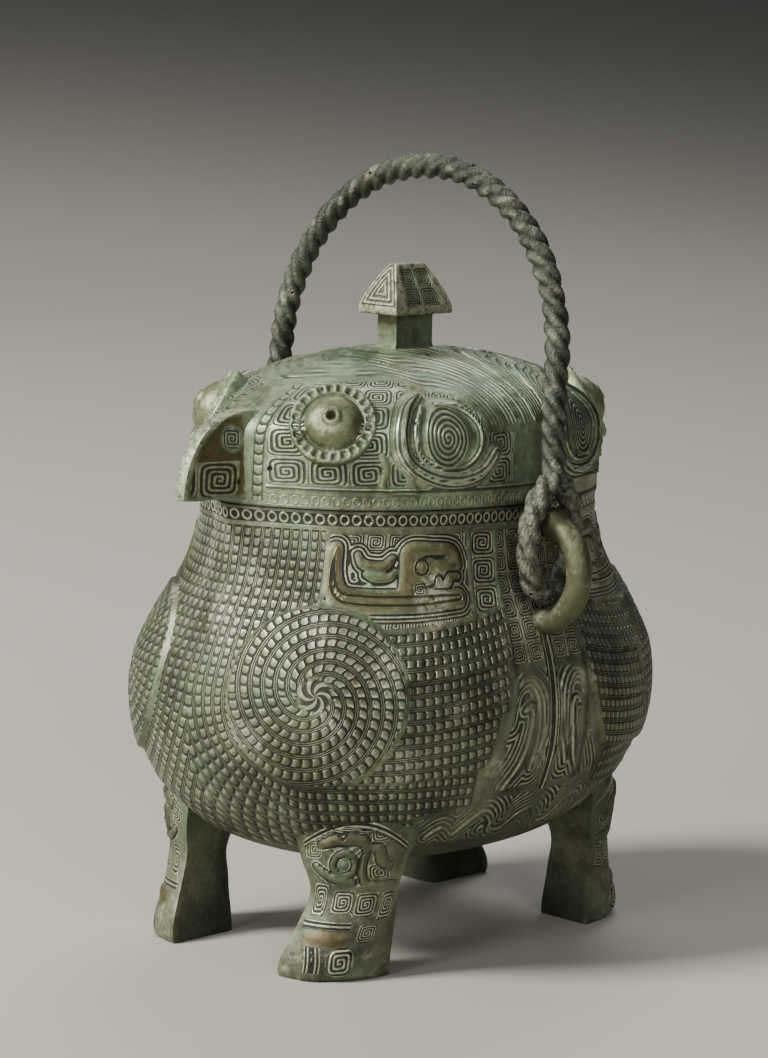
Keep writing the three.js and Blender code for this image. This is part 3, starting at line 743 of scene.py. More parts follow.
        # Soil and painted shade in the carving, and wear and painted highlights on its tops
        # The carving's low ground is painted dark, partly as soil and partly as the shade its bump cannot
        # cast
        low = add(tree, "MapRange", (shade, -0.5, -0.1, self.soil_and_shade_share, 0.0), **SOFT)
        dark = add(tree, "Math", (stain_and_shade, 0.85), operation="MULTIPLY")
        low = add(tree, "Math", (low, dark), operation="MAXIMUM")
        # The carving's tops are painted pale, partly as wear and partly as highlight
        top = add(tree, "MapRange", (shade, 0.12, 0.38, 0.0, self.wear_and_highlight_share), **SOFT)
        worn = add(tree, "MapRange", (fleck, 0.36, 0.6, 0.35, 1.0))
        top = add(tree, "Math", (top, worn), operation="MULTIPLY")
        colour = layered(tree, colour, (low, self.soil_and_shade), (top, self.wear_and_highlight))

        grit = add(tree, "TexNoise", (place, None, metres / self.grit_size, 3.0, 0.6))
        rough = add(tree, "MapRange", (fleck, 0.3, 0.7, -0.1, 0.12))
        rough = add(tree, "Math", (rough, self.roughness), operation="ADD")
        buffed = add(tree, "Math", (top, -0.3), operation="MULTIPLY")
        rough = add(tree, "Math", (rough, buffed), operation="ADD")
        soft = add(tree, "Math", (low, 0.25), operation="MULTIPLY")
        rough = add(tree, "Math", (rough, soft), operation="ADD")
        relief = add(tree, "Math", (fleck, self.fleck_rise, height), operation="MULTIPLY_ADD")
        relief = add(tree, "Math", (grit, 0.06, relief), operation="MULTIPLY_ADD")
        relief = add(tree, "Math", (crusty, 0.2, relief), operation="MULTIPLY_ADD")
        if self.pit_share:
            # Casting pits: a few of the cells of a cell pattern, each with a hole at its middle
            pit = add(tree, "TexVoronoi", (place, None, metres / self.pit_spacing)).node
            hole = add(tree, "MapRange", (pit.outputs["Distance"], 0.1, 0.2, 1.0, 0.0), **SOFT)
            chosen = add(tree, "SeparateColor", (pit.outputs["Color"],))
            chosen = add(tree, "Math", (chosen, self.pit_share), operation="LESS_THAN")
            hole = add(tree, "Math", (hole, chosen), operation="MULTIPLY")
            relief = add(tree, "Math", (hole, -1.2, relief), operation="MULTIPLY_ADD")
            # Each pit is painted dark, as soil and shade in its hole
            colour = layered(tree, colour, (hole, self.soil_and_shade))
        normal = add(tree, "Bump", (1.0, MM, None, relief))
        shader = add(tree, "BsdfPrincipled")
        node = shader.node
        tree.links.new(colour, node.inputs["Base Color"])
        tree.links.new(rough, node.inputs["Roughness"])
        tree.links.new(normal, node.inputs["Normal"])
        node.inputs["Metallic"].default_value = self.metallic
        add(tree, "OutputMaterial", (shader,))
        return material


# The pieces


@dataclass
class Body:
    """Pot-bellied body of oval section, with its lip, its hollow and the carving of four folded wings."""

    half_width: float = 74.5
    rim: float = 156.2
    bottom: float = 31.5
    wall: float = 3.6
    lip_height: float = 6.0
    lip_outer: float = 55.7
    mouth: float = 53.3
    keel: float = 4.0
    field_top: float = 149.2
    disc_fold: float = 28.0
    disc_height: float = 97.94
    disc_radius: float = 29.0
    row_pitch: float = 4.05
    scale_pitch: float = 3.2
    breast_bend: float = 37.0
    group_rows: int = 4
    row_rise: float = 0.2
    columns: int = 481
    row_spacing: float = 1.08
    plain_rows: int = 24
    profile: Profile = Profile((
        (0, 0.36), (0.02, 0.51), (0.06, 0.665), (0.12, 0.79), (0.216, 0.913), (0.329, 0.982), (0.441, 1),
        (0.553, 0.98), (0.666, 0.921), (0.785, 0.836), (0.873, 0.802), (0.946, 0.787), (1, 0.795),
    ))

    def at(self, turn: np.ndarray, height: np.ndarray, inset: float = 0.0) -> np.ndarray:
        """Points of the wall, before its carving.

        Args:
            turn: Degrees from -X towards -Y.
            height: Heights in mm.
            inset: How far inside the outer wall, in mm.

        Returns:
            Points in mm.
        """
        height = np.asarray(height, float)
        share = (height - self.bottom) / (self.rim - self.bottom)
        blend = np.clip((height / self.rim - 0.64) / 0.26, 0, 1)
        width = self.half_width * self.profile.width(np.clip(share, 0, 1)) - inset
        points = oval(turn, height, width, 2.2 - 0.2 * blend)
        if inset:
            return points
        along = smooth(height, self.rim * 0.68, self.rim * 0.97)
        return pushed_out(points, self.keel * along * np.clip(1 - fold_of(turn) / 10, 0, 1))

    def wing_top(self, fold: np.ndarray) -> np.ndarray:
        """Height of the wing's upper edge, which lifts towards the seam."""
        return 117.5 + 6.0 * np.clip((fold - 40) / 36, 0, 1) ** 2

    def dragon(self, made: Ornament, u: np.ndarray, height: np.ndarray, panel: np.ndarray) -> None:
        """Crested dragon in its panel, on a ground of lines and square spirals.

        Args:
            made: The carving that it is added to.
            u: Place along the panel, in mm.
            height: Heights in mm.
            panel: How far inside the panel the points lie, in mm.
        """
        body = curve_distance(u, height, (
            (3.2, 144.0, 3.6), (3.0, 135.0, 5.0), (5.6, 128.8, 6.2), (13, 127.3, 6.6), (30, 127.0, 6.6),
            (45.5, 127.4, 5.6)))
        neck = curve_distance(u, height, (
            (26.6, 128.0, 4.4), (26.8, 137.0, 4.4), (27.8, 143.2, 4.2), (36, 143.6, 3.4),
            (44.0, 142.6, 3.2), (46.4, 138.0, 2.4)))
        face = path_distance(u, height, ((30.5, 136.6, 9.2), (36.5, 136.0, 7.4), (43.5, 138.2, 3.2)))
        plumes = curve_distance(
            u, height, ((10.2, 142.0, 1.2), (12.4, 138.8, 2.4), (18.6, 138.2, 2.4), (21.6, 140.8, 1.4)),
            ((13.2, 135.6, 1.2), (16.6, 134.5, 2.2), (21.0, 134.7, 1.8), (22.4, 136.6, 1.0)))
        teeth = path_distance(u, height, (
            (38.2, 133.4, 1.2), (38.2, 131.9, 1.2), (42.0, 131.9, 1.2), (42.0, 134.4, 1.2),
            (45.6, 134.4, 1.2)))
        beast = least(body, neck, face, plumes, teeth - 0.6)
        pupil = np.hypot(u - 32.0, height - 137.6)
        inside_panel = smooth(panel, 0.2, 1.0)
        made.rise += inside_panel * smooth(-beast, -0.5, 0.55) * 0.9
        made.rise += inside_panel * 0.5 * np.exp(-(pupil / 0.9) ** 2)
        made.tone[..., OLIVE] = inside_panel * smooth(-beast, 0.0, 0.7) * 0.85
        made.outline(beast * 1.4 - 0.12, least(panel, beast + 0.3, 4.1 - beast))
        made.incise(body + 2.0, panel)
        made.incise(pupil - 2.4, panel)
        made.incise(teeth - 0.9, panel)
        curl_place = (31.4, 130.6)
        curl = 3.2 - np.hypot(u - curl_place[0], height - curl_place[1])
        made.scroll(u, height, (*curl_place, 6.6, 6.2), least(panel, curl))
        level = (self.field_top - height + 0.2) / 6.6
        made.place(Carving.SQUARES, u / 7.4 + 0.35, level, np.minimum(beast - 2.7, panel))
        made.edge(panel, 0.3)

    def plumes(self, made: Ornament, fold: np.ndarray, height: np.ndarray, off_seam: np.ndarray,
               seam: np.ndarray, faint: np.ndarray) -> None:
        """Narrow spirals, drooping plumes and a pair of upright lines between the two owls.

        Args:
            made: The carving that they are added to.
            fold: Degrees from the nearer beak.
            height: Heights in mm.
            off_seam: Distance from the seam's plane, in mm.
            seam: How far inside the seam's field the points lie, in mm.
            faint: How deep worn lines are cut, as a place inside a field.
        """
        frets = least(seam, self.field_top - height, height - 104.6)
        made.place(Carving.SQUARES, (off_seam - 2.0) / 7.7, (self.field_top - height + 0.2) / 7.5, frets)
        place = (fold - 70) * 1.3
        hook = ((5.5, 86, 2.0), (8, 96.5, 4.0), (14.6, 100.5, 5.6), (20.2, 95.0, 6.0), (20.8, 82.5, 5.2),
                (16.8, 69.5, 2.4))
        droop = ((12.0, 89.5, 1.2), (15.4, 90.6, 2.2), (16.2, 84.0, 2.4), (12.6, 72, 3.4), (6.0, 63, 2.0))
        feather = curve_distance(place, height, hook, droop)
        plume_field = least(seam, 103.8 - height, height - 61.5)
        made.outline(feather + 0.3, np.minimum(plume_field, faint))
        made.rise += smooth(plume_field, 0, 1) * smooth(-feather, -1.2, 1.6) * 1.35
        made.edge(np.where(height < 149.5, seam, 9.0) * (height > 60), 0.35, 0.7)
        spine = least(2.4 - off_seam, 149 - height, height - 60)
        made.outline(off_seam + 0.4, spine + 0.9)

    def flank(self, made: Ornament, place: np.ndarray, height: np.ndarray, field: np.ndarray,
              faint: np.ndarray) -> None:
        """Scroll that runs round the flank below the wing.

        Args:
            made: The carving that it is added to.
            place: Place round the body, in mm.
            height: Heights in mm.
            field: How far inside the scroll's field the points lie, in mm.
            faint: How deep worn lines are cut, as a place inside a field.
        """
        scroll = curve_distance(place, height, (
            (2, 46.5, 1.6), (8, 50.0, 2.4), (14, 46.0, 2.4), (19, 50.5, 2.6), (25, 55.0, 2.6),
            (31, 51.5, 2.4), (33, 47.0, 2.0), (40, 46.0, 2.6), (45, 51.0, 2.6), (51, 54.0, 1.6)))
        pupil = np.hypot(place - 27.5, height - 48.0) - 1.6
        scroll = np.minimum(scroll, pupil)
        made.outline(scroll + 0.3, np.minimum(field, faint))
        made.rise += smooth(field, 0, 1.5) * smooth(-scroll, -0.8, 1.0) * 0.8

    def carve(self, base: np.ndarray, fold: np.ndarray, height: np.ndarray) -> Ornament:
        """Carving of the outer wall.

        Args:
            base: Points of the bare wall, in mm.
            fold: Degrees from the nearer beak.
            height: Heights in mm.

        Returns:
            Relief, pattern coordinates and tones.
        """
        made = Ornament.plain(base.shape[:2])
        fold, height = np.broadcast_arrays(fold, height)
        off_seam = np.abs(base[..., 0])

        # Wing shoulder: a domed disc, seen square on from its middle
        centre, normal, aside, upward = face_frame(self.at, self.disc_fold, self.disc_height)
        offset = -np.abs(base) * (1, 1, -1) - centre
        across, up = offset @ aside, offset @ upward
        radius = np.where(offset @ normal > -20, np.hypot(across, up), 99.0)
        disc = self.disc_radius - radius
        made.place(Carving.COIL, across, up, disc + 0.3)
        made.rise += smooth(disc, -0.9, 0.5) * (1.5 + 0.7 * np.clip(disc / self.disc_radius, 0, 1))
        made.edge(disc, 0.35)

        # Folded wing behind the disc: rows of small feathers in groups that overlap like steps
        top = self.wing_top(fold)
        low = top - 12 * self.row_pitch
        tuck = 9 * np.clip((117 - height) / 49, 0, 1) ** 3
        back = 76.2 - tuck
        row = (top - height) / self.row_pitch
        group = np.floor(row / self.group_rows)
        back = back - 1.3 * np.clip(group, 0, 2)
        wing = least(top - height, height - low, (back - fold) * 1.25, -disc - 0.4,
                     (fold - self.disc_fold) * 1.5)
        bead = fold * 1.45 / self.scale_pitch
        made.place(Carving.ROWS, row, bead, wing)
        slope = (row / self.group_rows) % 1
        made.rise += smooth(wing, -0.8, 0.5) * (0.25 + 1.45 * slope)
        # Painted shade in the groove under each step between feather groups
        step = smooth(wing, 0.2, 1.0) * smooth(-slope, -0.11, -0.03) * (group > 0)

        # Panel of the crested dragon, on a ground of lines and square spirals
        below_top = self.field_top - height
        above_wing = height - top - 0.5
        panel = least((fold - 25.4) * 1.25, (66.0 - fold) * 1.25, below_top, above_wing, -disc - 1.2)
        self.dragon(made, (fold - 25) * 1.25, height, panel)

        # Upright strip of square spirals behind the dragon
        strip = least((fold - 66.6) * 1.15, (76.0 - fold) * 1.15, below_top, above_wing)
        made.place(Carving.SQUARES, (fold - 66.4) / 9.8, (below_top + 0.2) / 9.2, strip)
        made.edge(strip, 0.25)

        # Seam between the two owls: narrow spirals, drooping plumes and a pair of upright lines
        seam = np.minimum((fold - 76.6 + tuck) * 1.25, off_seam - 2.2)
        faint = 0.77 + 0.09 * grain(base, 16, 52)
        self.plumes(made, fold, height, off_seam, seam, faint)

        roof = np.where(fold > 70, 60.8, low - 4.2 * self.row_pitch + 3)
        clear = np.maximum(off_seam - 0.5, 1.0)
        scroll_field = least(roof - height, height - 42.5, (fold - 50) * 1.3, clear)
        self.flank(made, (fold - 52) * 1.35, height, scroll_field, faint)

        # Breast: upright columns of scales, which bend round the disc and run on below the wing
        ahead = np.maximum((self.disc_fold - fold) * 1.65, 0)
        lower = np.maximum(self.disc_height - height, 0)
        turned = np.arctan2(lower, ahead)
        behind = self.breast_bend * math.pi / 2 + (fold - self.disc_fold) * 1.45
        gone = np.where(ahead > 0, self.breast_bend * turned, behind)
        gone = np.where(lower > 0, gone, self.disc_height - height)
        others = np.maximum.reduce([disc + 0.4, wing, panel, strip, seam, scroll_field])
        breast = least(-others, 150.2 - height, height - 41.5, (66 - fold) * 1.3)
        row = np.hypot(ahead, lower) / self.row_pitch + 0.1
        made.place(Carving.ROWS, row, gone / self.scale_pitch, breast)

        # Rows that stand out in the mesh too
        rows = made.fields[Carving.ROWS]
        made.ridges(Carving.ROWS, rows[..., 0], rows[..., 1], self.row_rise)
        wound = radius / COIL_PITCH + np.arctan2(up, across) * COIL_ARMS / (2 * math.pi)
        made.ridges(Carving.COIL, wound, 0.5 + 0 * wound, self.row_rise * smooth(radius, 2, 8))

        # Band of rings under the rim
        band = np.minimum(height - 150.7, 155.5 - height)
        made.place(Carving.BAND, fold / 3.1, (height - 150.9) / 4.5, band + 0.35)
        made.edge(height - 150.3, 0.4, 0.6)
        made.edge(np.where(height < self.rim - 0.1, height - 155.6, 9.0), 0.3, 0.6)

        # Front ridge, wear, the cracks' soil, and painted shade under the wing's steps, in the gap under
        # the lid, under the belly, and on the lower body and the sides towards the seam
        made.rise += grain(base, 21, 3) * 0.22 * smooth(height, 36, 50)
        made.tone[..., CRUST] = np.exp(-((fold - 8) / 3) ** 2) * smooth(height, 112, 140) * 0.8
        edge_soil = np.exp(-((fold - 76.6) / 1.0) ** 2) * (height < 118) * (height > 62)
        # Painted shade: nearly black along the wall's top under the lid's edge, darker under the belly, and
        # darker on the lower body and the sides towards the seam
        lid_gap_shade = smooth(height, self.rim - 1.3, self.rim - 0.4)
        low_side_shade = 0.3 * smooth(-height, -98, -50) + 0.1 * smooth(fold, 58, 80)
        underside_shade = smooth(-height, -46, -36) * 0.2
        stain_and_shade = edge_soil * 0.7 + underside_shade + lid_gap_shade * 0.95 + step * 0.6 + low_side_shade
        made.tone[..., STAIN_AND_SHADE] = np.clip(stain_and_shade, 0, 0.95)
        dusty = smooth(grain(base, 26, 41), 0.35, 0.9) * smooth(height, 50, 70) * 0.6
        made.tone[..., CRUST] = np.maximum(made.tone[..., CRUST], dusty)
        made.rise = np.where(height > self.rim - 0.2, 0, made.rise)
        return made

    def build(self) -> Object:
        """One closed wall: underside, outside, rim, lip, inside and floor.

        Returns:
            The carved body.
        """
        turn = np.linspace(0, 360, self.columns)[None]
        span = self.rim - self.bottom
        shares = self.profile.steps(span, self.half_width, self.row_spacing)
        # The underside carries no carving, so its rows lie twice as far apart
        shares = np.concatenate([shares[:self.plain_rows:2], shares[self.plain_rows:]])
        height = (self.bottom + shares * span)[:, None]
        base = self.at(turn, height)
        carved = self.carve(base, fold_of(turn), height)
        outer = base + grid_normals(base) * carved.rise[..., None]
        outer[0] = base[0]
        outer[-1] = base[-1]

        lip_top = self.rim + self.lip_height
        rim_half = self.half_width * self.profile.width(1.0)
        ledge = [(self.rim, rim_half * 0.97), (self.rim, self.lip_outer), (lip_top - 0.5, self.lip_outer),
                 (lip_top, self.lip_outer - 0.5), (lip_top, self.mouth + 0.5), (lip_top - 0.5, self.mouth),
                 (self.rim - 4, self.mouth)]
        inner = [oval(turn, np.full((1, 1), z), w, 2.0) for z, w in ledge]
        floor = self.bottom + self.wall
        for share in np.linspace(1, 0, 13):
            z = floor + share * (self.rim - 7 - floor)
            inner.append(self.at(turn, np.full((1, 1), z), self.wall))
        inner.append(pole((0, 0, floor), self.columns))
        points = np.concatenate([pole((0, 0, self.bottom), self.columns), outer, *inner])
        points[:, -1] = points[:, 0]
        return Shell.make("vessel_body", points, carved.within(len(points), 1))


@dataclass
class Leg:
    """Owl's leg of quarter-round section: a foot, a waisted shank and a thigh that runs into the belly."""

    corner: tuple = (50.0, 26.0)
    foot_reach: float = 29.5
    foot_width: float = 23.5
    ankle: float = 20.5
    thigh: float = 28.5
    ankle_height: float = 29.0
    top: float = 58.0
    arc_columns: int = 46
    side_columns: int = 8
    rows: int = 54

    def section(self, corner_x: float, corner_y: float, reach: float, width: float) -> tuple:
        """One section in the quarter at -X and -Y.

        Args:
            corner_x: The square corner's distance from the middle along X, in mm.
            corner_y: The same along Y.
            reach: Length along X, in mm.
            width: Length along Y, in mm.

        Returns:
            Places as (x, y), and each place's share of the way round the arc, or -1 on the flat sides.
        """
        angle = np.radians(np.linspace(0, 90, self.arc_columns))
        arc = np.stack([reach * np.cos(angle) ** 0.92, width * np.clip(np.sin(angle), 0, 1) ** 0.92], -1)
        arc[-1, 0] = 0
        side = np.linspace(1, 0.12, self.side_columns + 1)[1:, None]
        down = np.concatenate([np.zeros_like(side), side * width], -1)
        away = np.concatenate([side[::-1] * reach, np.zeros_like(side)], -1)
        bend = np.array([[0.035 * reach, 0.035 * width]])
        places = np.concatenate([arc, down, bend, away, arc[:1]])
        share = np.full(len(places), -1.0)
        share[:self.arc_columns] = np.linspace(0, 1, self.arc_columns)
        share[-1] = 0
        return -(places + (corner_x, corner_y)), share

    def carve(self, base: np.ndarray, share: np.ndarray, across: np.ndarray, quarter: tuple) -> Ornament:
        """Carving of the rounded side.

        Args:
            base: Points of the bare leg, in mm.
            share: Share of the way round the arc, or -1 on the flat sides.
            across: Distance round the arc from its middle, in mm.
            quarter: Signs that take the quarter at -X and -Y to the leg's own.

        Returns:
            Relief, pattern coordinates and tones.
        """
        z = base[..., 2]
        on_arc = share >= 0
        made = Ornament.plain(share.shape)
        side = np.minimum(share, 1 - share) * 34
        panel = np.where(on_arc, side - 0.8, OFF)

        # Thigh: a ringed eye under a smooth brow, hooks at its right and square spirals in the corners
        arch = z - (54.6 - 0.022 * across ** 2)
        eye = np.hypot(across + 3.6, z - 39.4)
        bars = (((-12.4, 46.0, 2.4), (-6, 48.2, 3.4), (1.5, 48.4, 3.2), (3.8, 45.6, 2.2)),
                ((5.4, 46.0, 1.6), (8.6, 44.8, 2.8), (10.2, 40.6, 2.8), (13.4, 39.0, 1.6)),
                ((3.8, 43.0, 1.4), (3.0, 36.0, 1.8), (5.4, 32.4, 2.0), (14.2, 32.2, 1.6)),
                ((-14.0, 38.0, 1.4), (-8.0, 34.4, 2.0), (-0.5, 33.2, 1.5)))
        mask = least(curve_distance(across, z, *bars), np.abs(eye - 4.0) - 0.6)
        thigh_field = least(panel, -arch - 1.6, z - 31.0)
        made.rise += smooth(thigh_field, 0, 1) * smooth(-mask, -0.5, 0.6)
        made.rise += np.where(on_arc, 1.2 * np.exp(-(eye / 1.6) ** 2), 0)
        worn = 0.9 + 0.12 * grain(base, 9, 61)
        made.outline(mask + 0.35, least(thigh_field, mask + 0.6, 2.3 - mask, worn))
        made.outline(arch + 0.2, least(panel, 2.8 - np.abs(arch + 1.4), worn))
        made.edge(np.where(on_arc, arch, 9), 0.4)
        for box in ((-15.0, 43.6, 7.0, 7.0), (8.8, 50.6, 8.4, 7.2), (-11.8, 26.6, 5.6, 11.4),
                    (-3.4, 26.4, 8.6, 8.4), (5.2, 25.8, 8.8, 8.4), (9.6, 36.6, 9.4, 6.4),
                    (13.0, 25.4, 5.4, 9.6), (8.8, 16.2, 7.4, 6.4)):
            made.scroll(across, z, box, least(panel, mask - 0.4, -arch - 1.4, worn))
        notch = path_distance(across, z, ((-5.0, 53.4, 2.6), (-5.0, 49.8, 2.6)))
        made.incise(notch, np.minimum(panel, worn))

        # Lines over the instep, and a smooth toe with a fan and a whorl
        instep = least(panel, 20.8 - z, z - 16.0, 3.2 - across, worn)
        made.outline(z * 1.2, instep)
        whorl = np.hypot(across - 2.4, (z - 6.8) * 0.95)
        made.scroll(across, z, (2.4, 6.8, 11.6, 11.6), least(panel, 5.8 - whorl, worn))
        made.rise += np.where(on_arc, 0.9 * smooth(5.8 - whorl, 0, 2.5), 0)
        fan = np.abs(across + 7.4 + 0.04 * (z - 5) ** 2)
        made.outline(fan * 1.2, least(panel, 4.2 - fan, whorl - 5.2, 12.4 - z, z - 1.8, worn))
        fan_rise = smooth(4.8 - fan, 0, 2) * smooth(12.8 - z, 0, 2) * smooth(whorl, 5, 6)
        made.rise += np.where(on_arc, 0.8 * fan_rise, 0)
        toe = smooth(across, -17, -11) * smooth(-across, -6, 0)
        made.rise += np.where(on_arc, 0.7 * smooth(z, 12.0, 13.4) * smooth(-z, -16.6, -15.4) * toe, 0)
        made.rise += grain(base * (quarter[0], quarter[1], 1), 15, 11) * 0.3 * smooth(z, 1, 5)
        bare = 0.95 * smooth(z, 10.5, 13) * smooth(-z, -17.5, -15.5) * toe
        bare = bare + 0.5 * smooth(-mask, 0, 0.6) * smooth(thigh_field, 0, 1)
        made.tone[..., OLIVE] = np.where(on_arc, bare, 0.0)
        dusty = 0.45 * smooth(grain(base, 7, 62), 0.1, 0.7) * smooth(-z, -16, -6)
        made.tone[..., CRUST] = np.where(on_arc, dusty, 0.0)
        # Painted shade: the flat inner sides grow darker towards the floor, under the body
        made.tone[..., STAIN_AND_SHADE] = 0.25 + smooth(-z, -22, -6) * np.where(on_arc, 0.0, 0.5)
        return made

    def build(self, quarter: tuple) -> Object:
        """One carved leg.

        Args:
            quarter: Signs that take the quarter at -X and -Y to the leg's own.

        Returns:
            The closed leg.
        """
        ankle, foot, thigh, shank = self.ankle, self.foot_reach, self.thigh, self.ankle_height
        stations = np.array([
            (0, 0, 0, foot * 0.97, self.foot_width * 0.96), (shank * 0.086, 0, 0, foot, self.foot_width),
            (shank * 0.31, 0, 0.035, foot * 0.95, self.foot_width * 0.96),
            (shank * 0.62, -0.018, 0.105, ankle + (foot - ankle) * 0.4, ankle * 1.04),
            (shank, -0.035, 0.158, ankle, ankle),
            (self.top * 0.672, -0.123, 0.088, ankle + (thigh - ankle) * 0.6, ankle * 1.175),
            (self.top * 0.845, -0.21, 0.018, thigh, thigh), (self.top, -0.28, -0.035, thigh * 1.018, thigh),
        ])
        fine = np.array(smooth_places(tuple(map(tuple, stations)), 24))
        heights = np.linspace(0, self.top, self.rows)
        values = np.stack([np.interp(heights, fine[:, 0], fine[:, i]) for i in range(5)], -1)
        loops, shares = [], []
        for z, dx, dy, reach, width in values:
            corner_x, corner_y = self.corner[0] + dx * thigh, self.corner[1] + dy * thigh
            places, share = self.section(corner_x, corner_y, reach, width)
            loops.append(np.column_stack([places, np.full(len(places), z)]))
            shares.append(share)
        base = np.array(loops)
        share = np.array(shares)
        z = base[..., 2]
        across = np.where(share >= 0, (share - 0.5) * (values[:, 3:4] + values[:, 4:5]) * 0.8, 99)
        made = self.carve(base, share, across, quarter)
        normals = grid_normals(base)
        points = base + normals * (made.rise * smooth(z, 0.2, 1.2) * smooth(-z, -57.5, -54))[..., None]
        columns = points.shape[1]
        middle = points[0, :, :2].mean(0)
        top = points[-1, :, :2].mean(0)
        points = np.concatenate([pole((*middle, 0), columns), points, pole((*top, self.top), columns)])
        return Shell.mirrored("leg", points, made.capped(), quarter)


@dataclass
class SideRing:
    """Half ring cast on the neck, with a squared collar where its upper end leaves the wall."""

    centre_y: float = 66.0
    centre_z: float = 135.0
    radius: float = 17.5
    tube: float = 4.3
    opening: float = 224.0
    collar_rise: float = 1.1
    steps: int = 56
    sides: int = 24

    def build(self, side: int) -> Object:
        """The ring on one side, -1 or 1."""
        angle = np.radians(np.linspace(-self.opening / 2, self.opening / 2, self.steps))
        flat = np.zeros_like(angle)
        out = np.stack([flat, side * np.cos(angle), np.sin(angle)], -1)
        centres = out * self.radius + (0, side * self.centre_y, self.centre_z)
        across = np.tile((1.0 * side, 0, 0), (self.steps, 1))
        around = np.radians(np.linspace(0, 360, self.sides + 1))
        degrees = np.degrees(angle)
        collar = smooth(degrees, 62, 65) * smooth(-degrees, -78, -74)
        tube = self.tube + self.collar_rise * collar
        corner = np.maximum(np.abs(np.cos(around)), np.abs(np.sin(around)))[None]
        square = 1 + collar[:, None] * (0.9 / corner - 1) * 0.8
        round_bar = np.stack([np.cos(around), np.sin(around)], -1)[None]
        section = round_bar * (tube[:, None] * square)[..., None]
        return sweep("side_ring", centres, out, across, section, tone=(0.6, 0, 0.3))


@dataclass
class VesselPiece:
    """Body, four legs and two half rings, cast as one."""

    body: Body
    leg: Leg
    ring: SideRing
    edge_angle: float = 62.0

    def build(self, finish: Material) -> Object:
        """The whole casting, dressed."""
        parts = [self.body.build()]
        parts += [self.leg.build(quarter) for quarter in QUARTERS]
        parts += [self.ring.build(side) for side in SIDES]
        return joined(parts, "cast_vessel", self.edge_angle, finish)


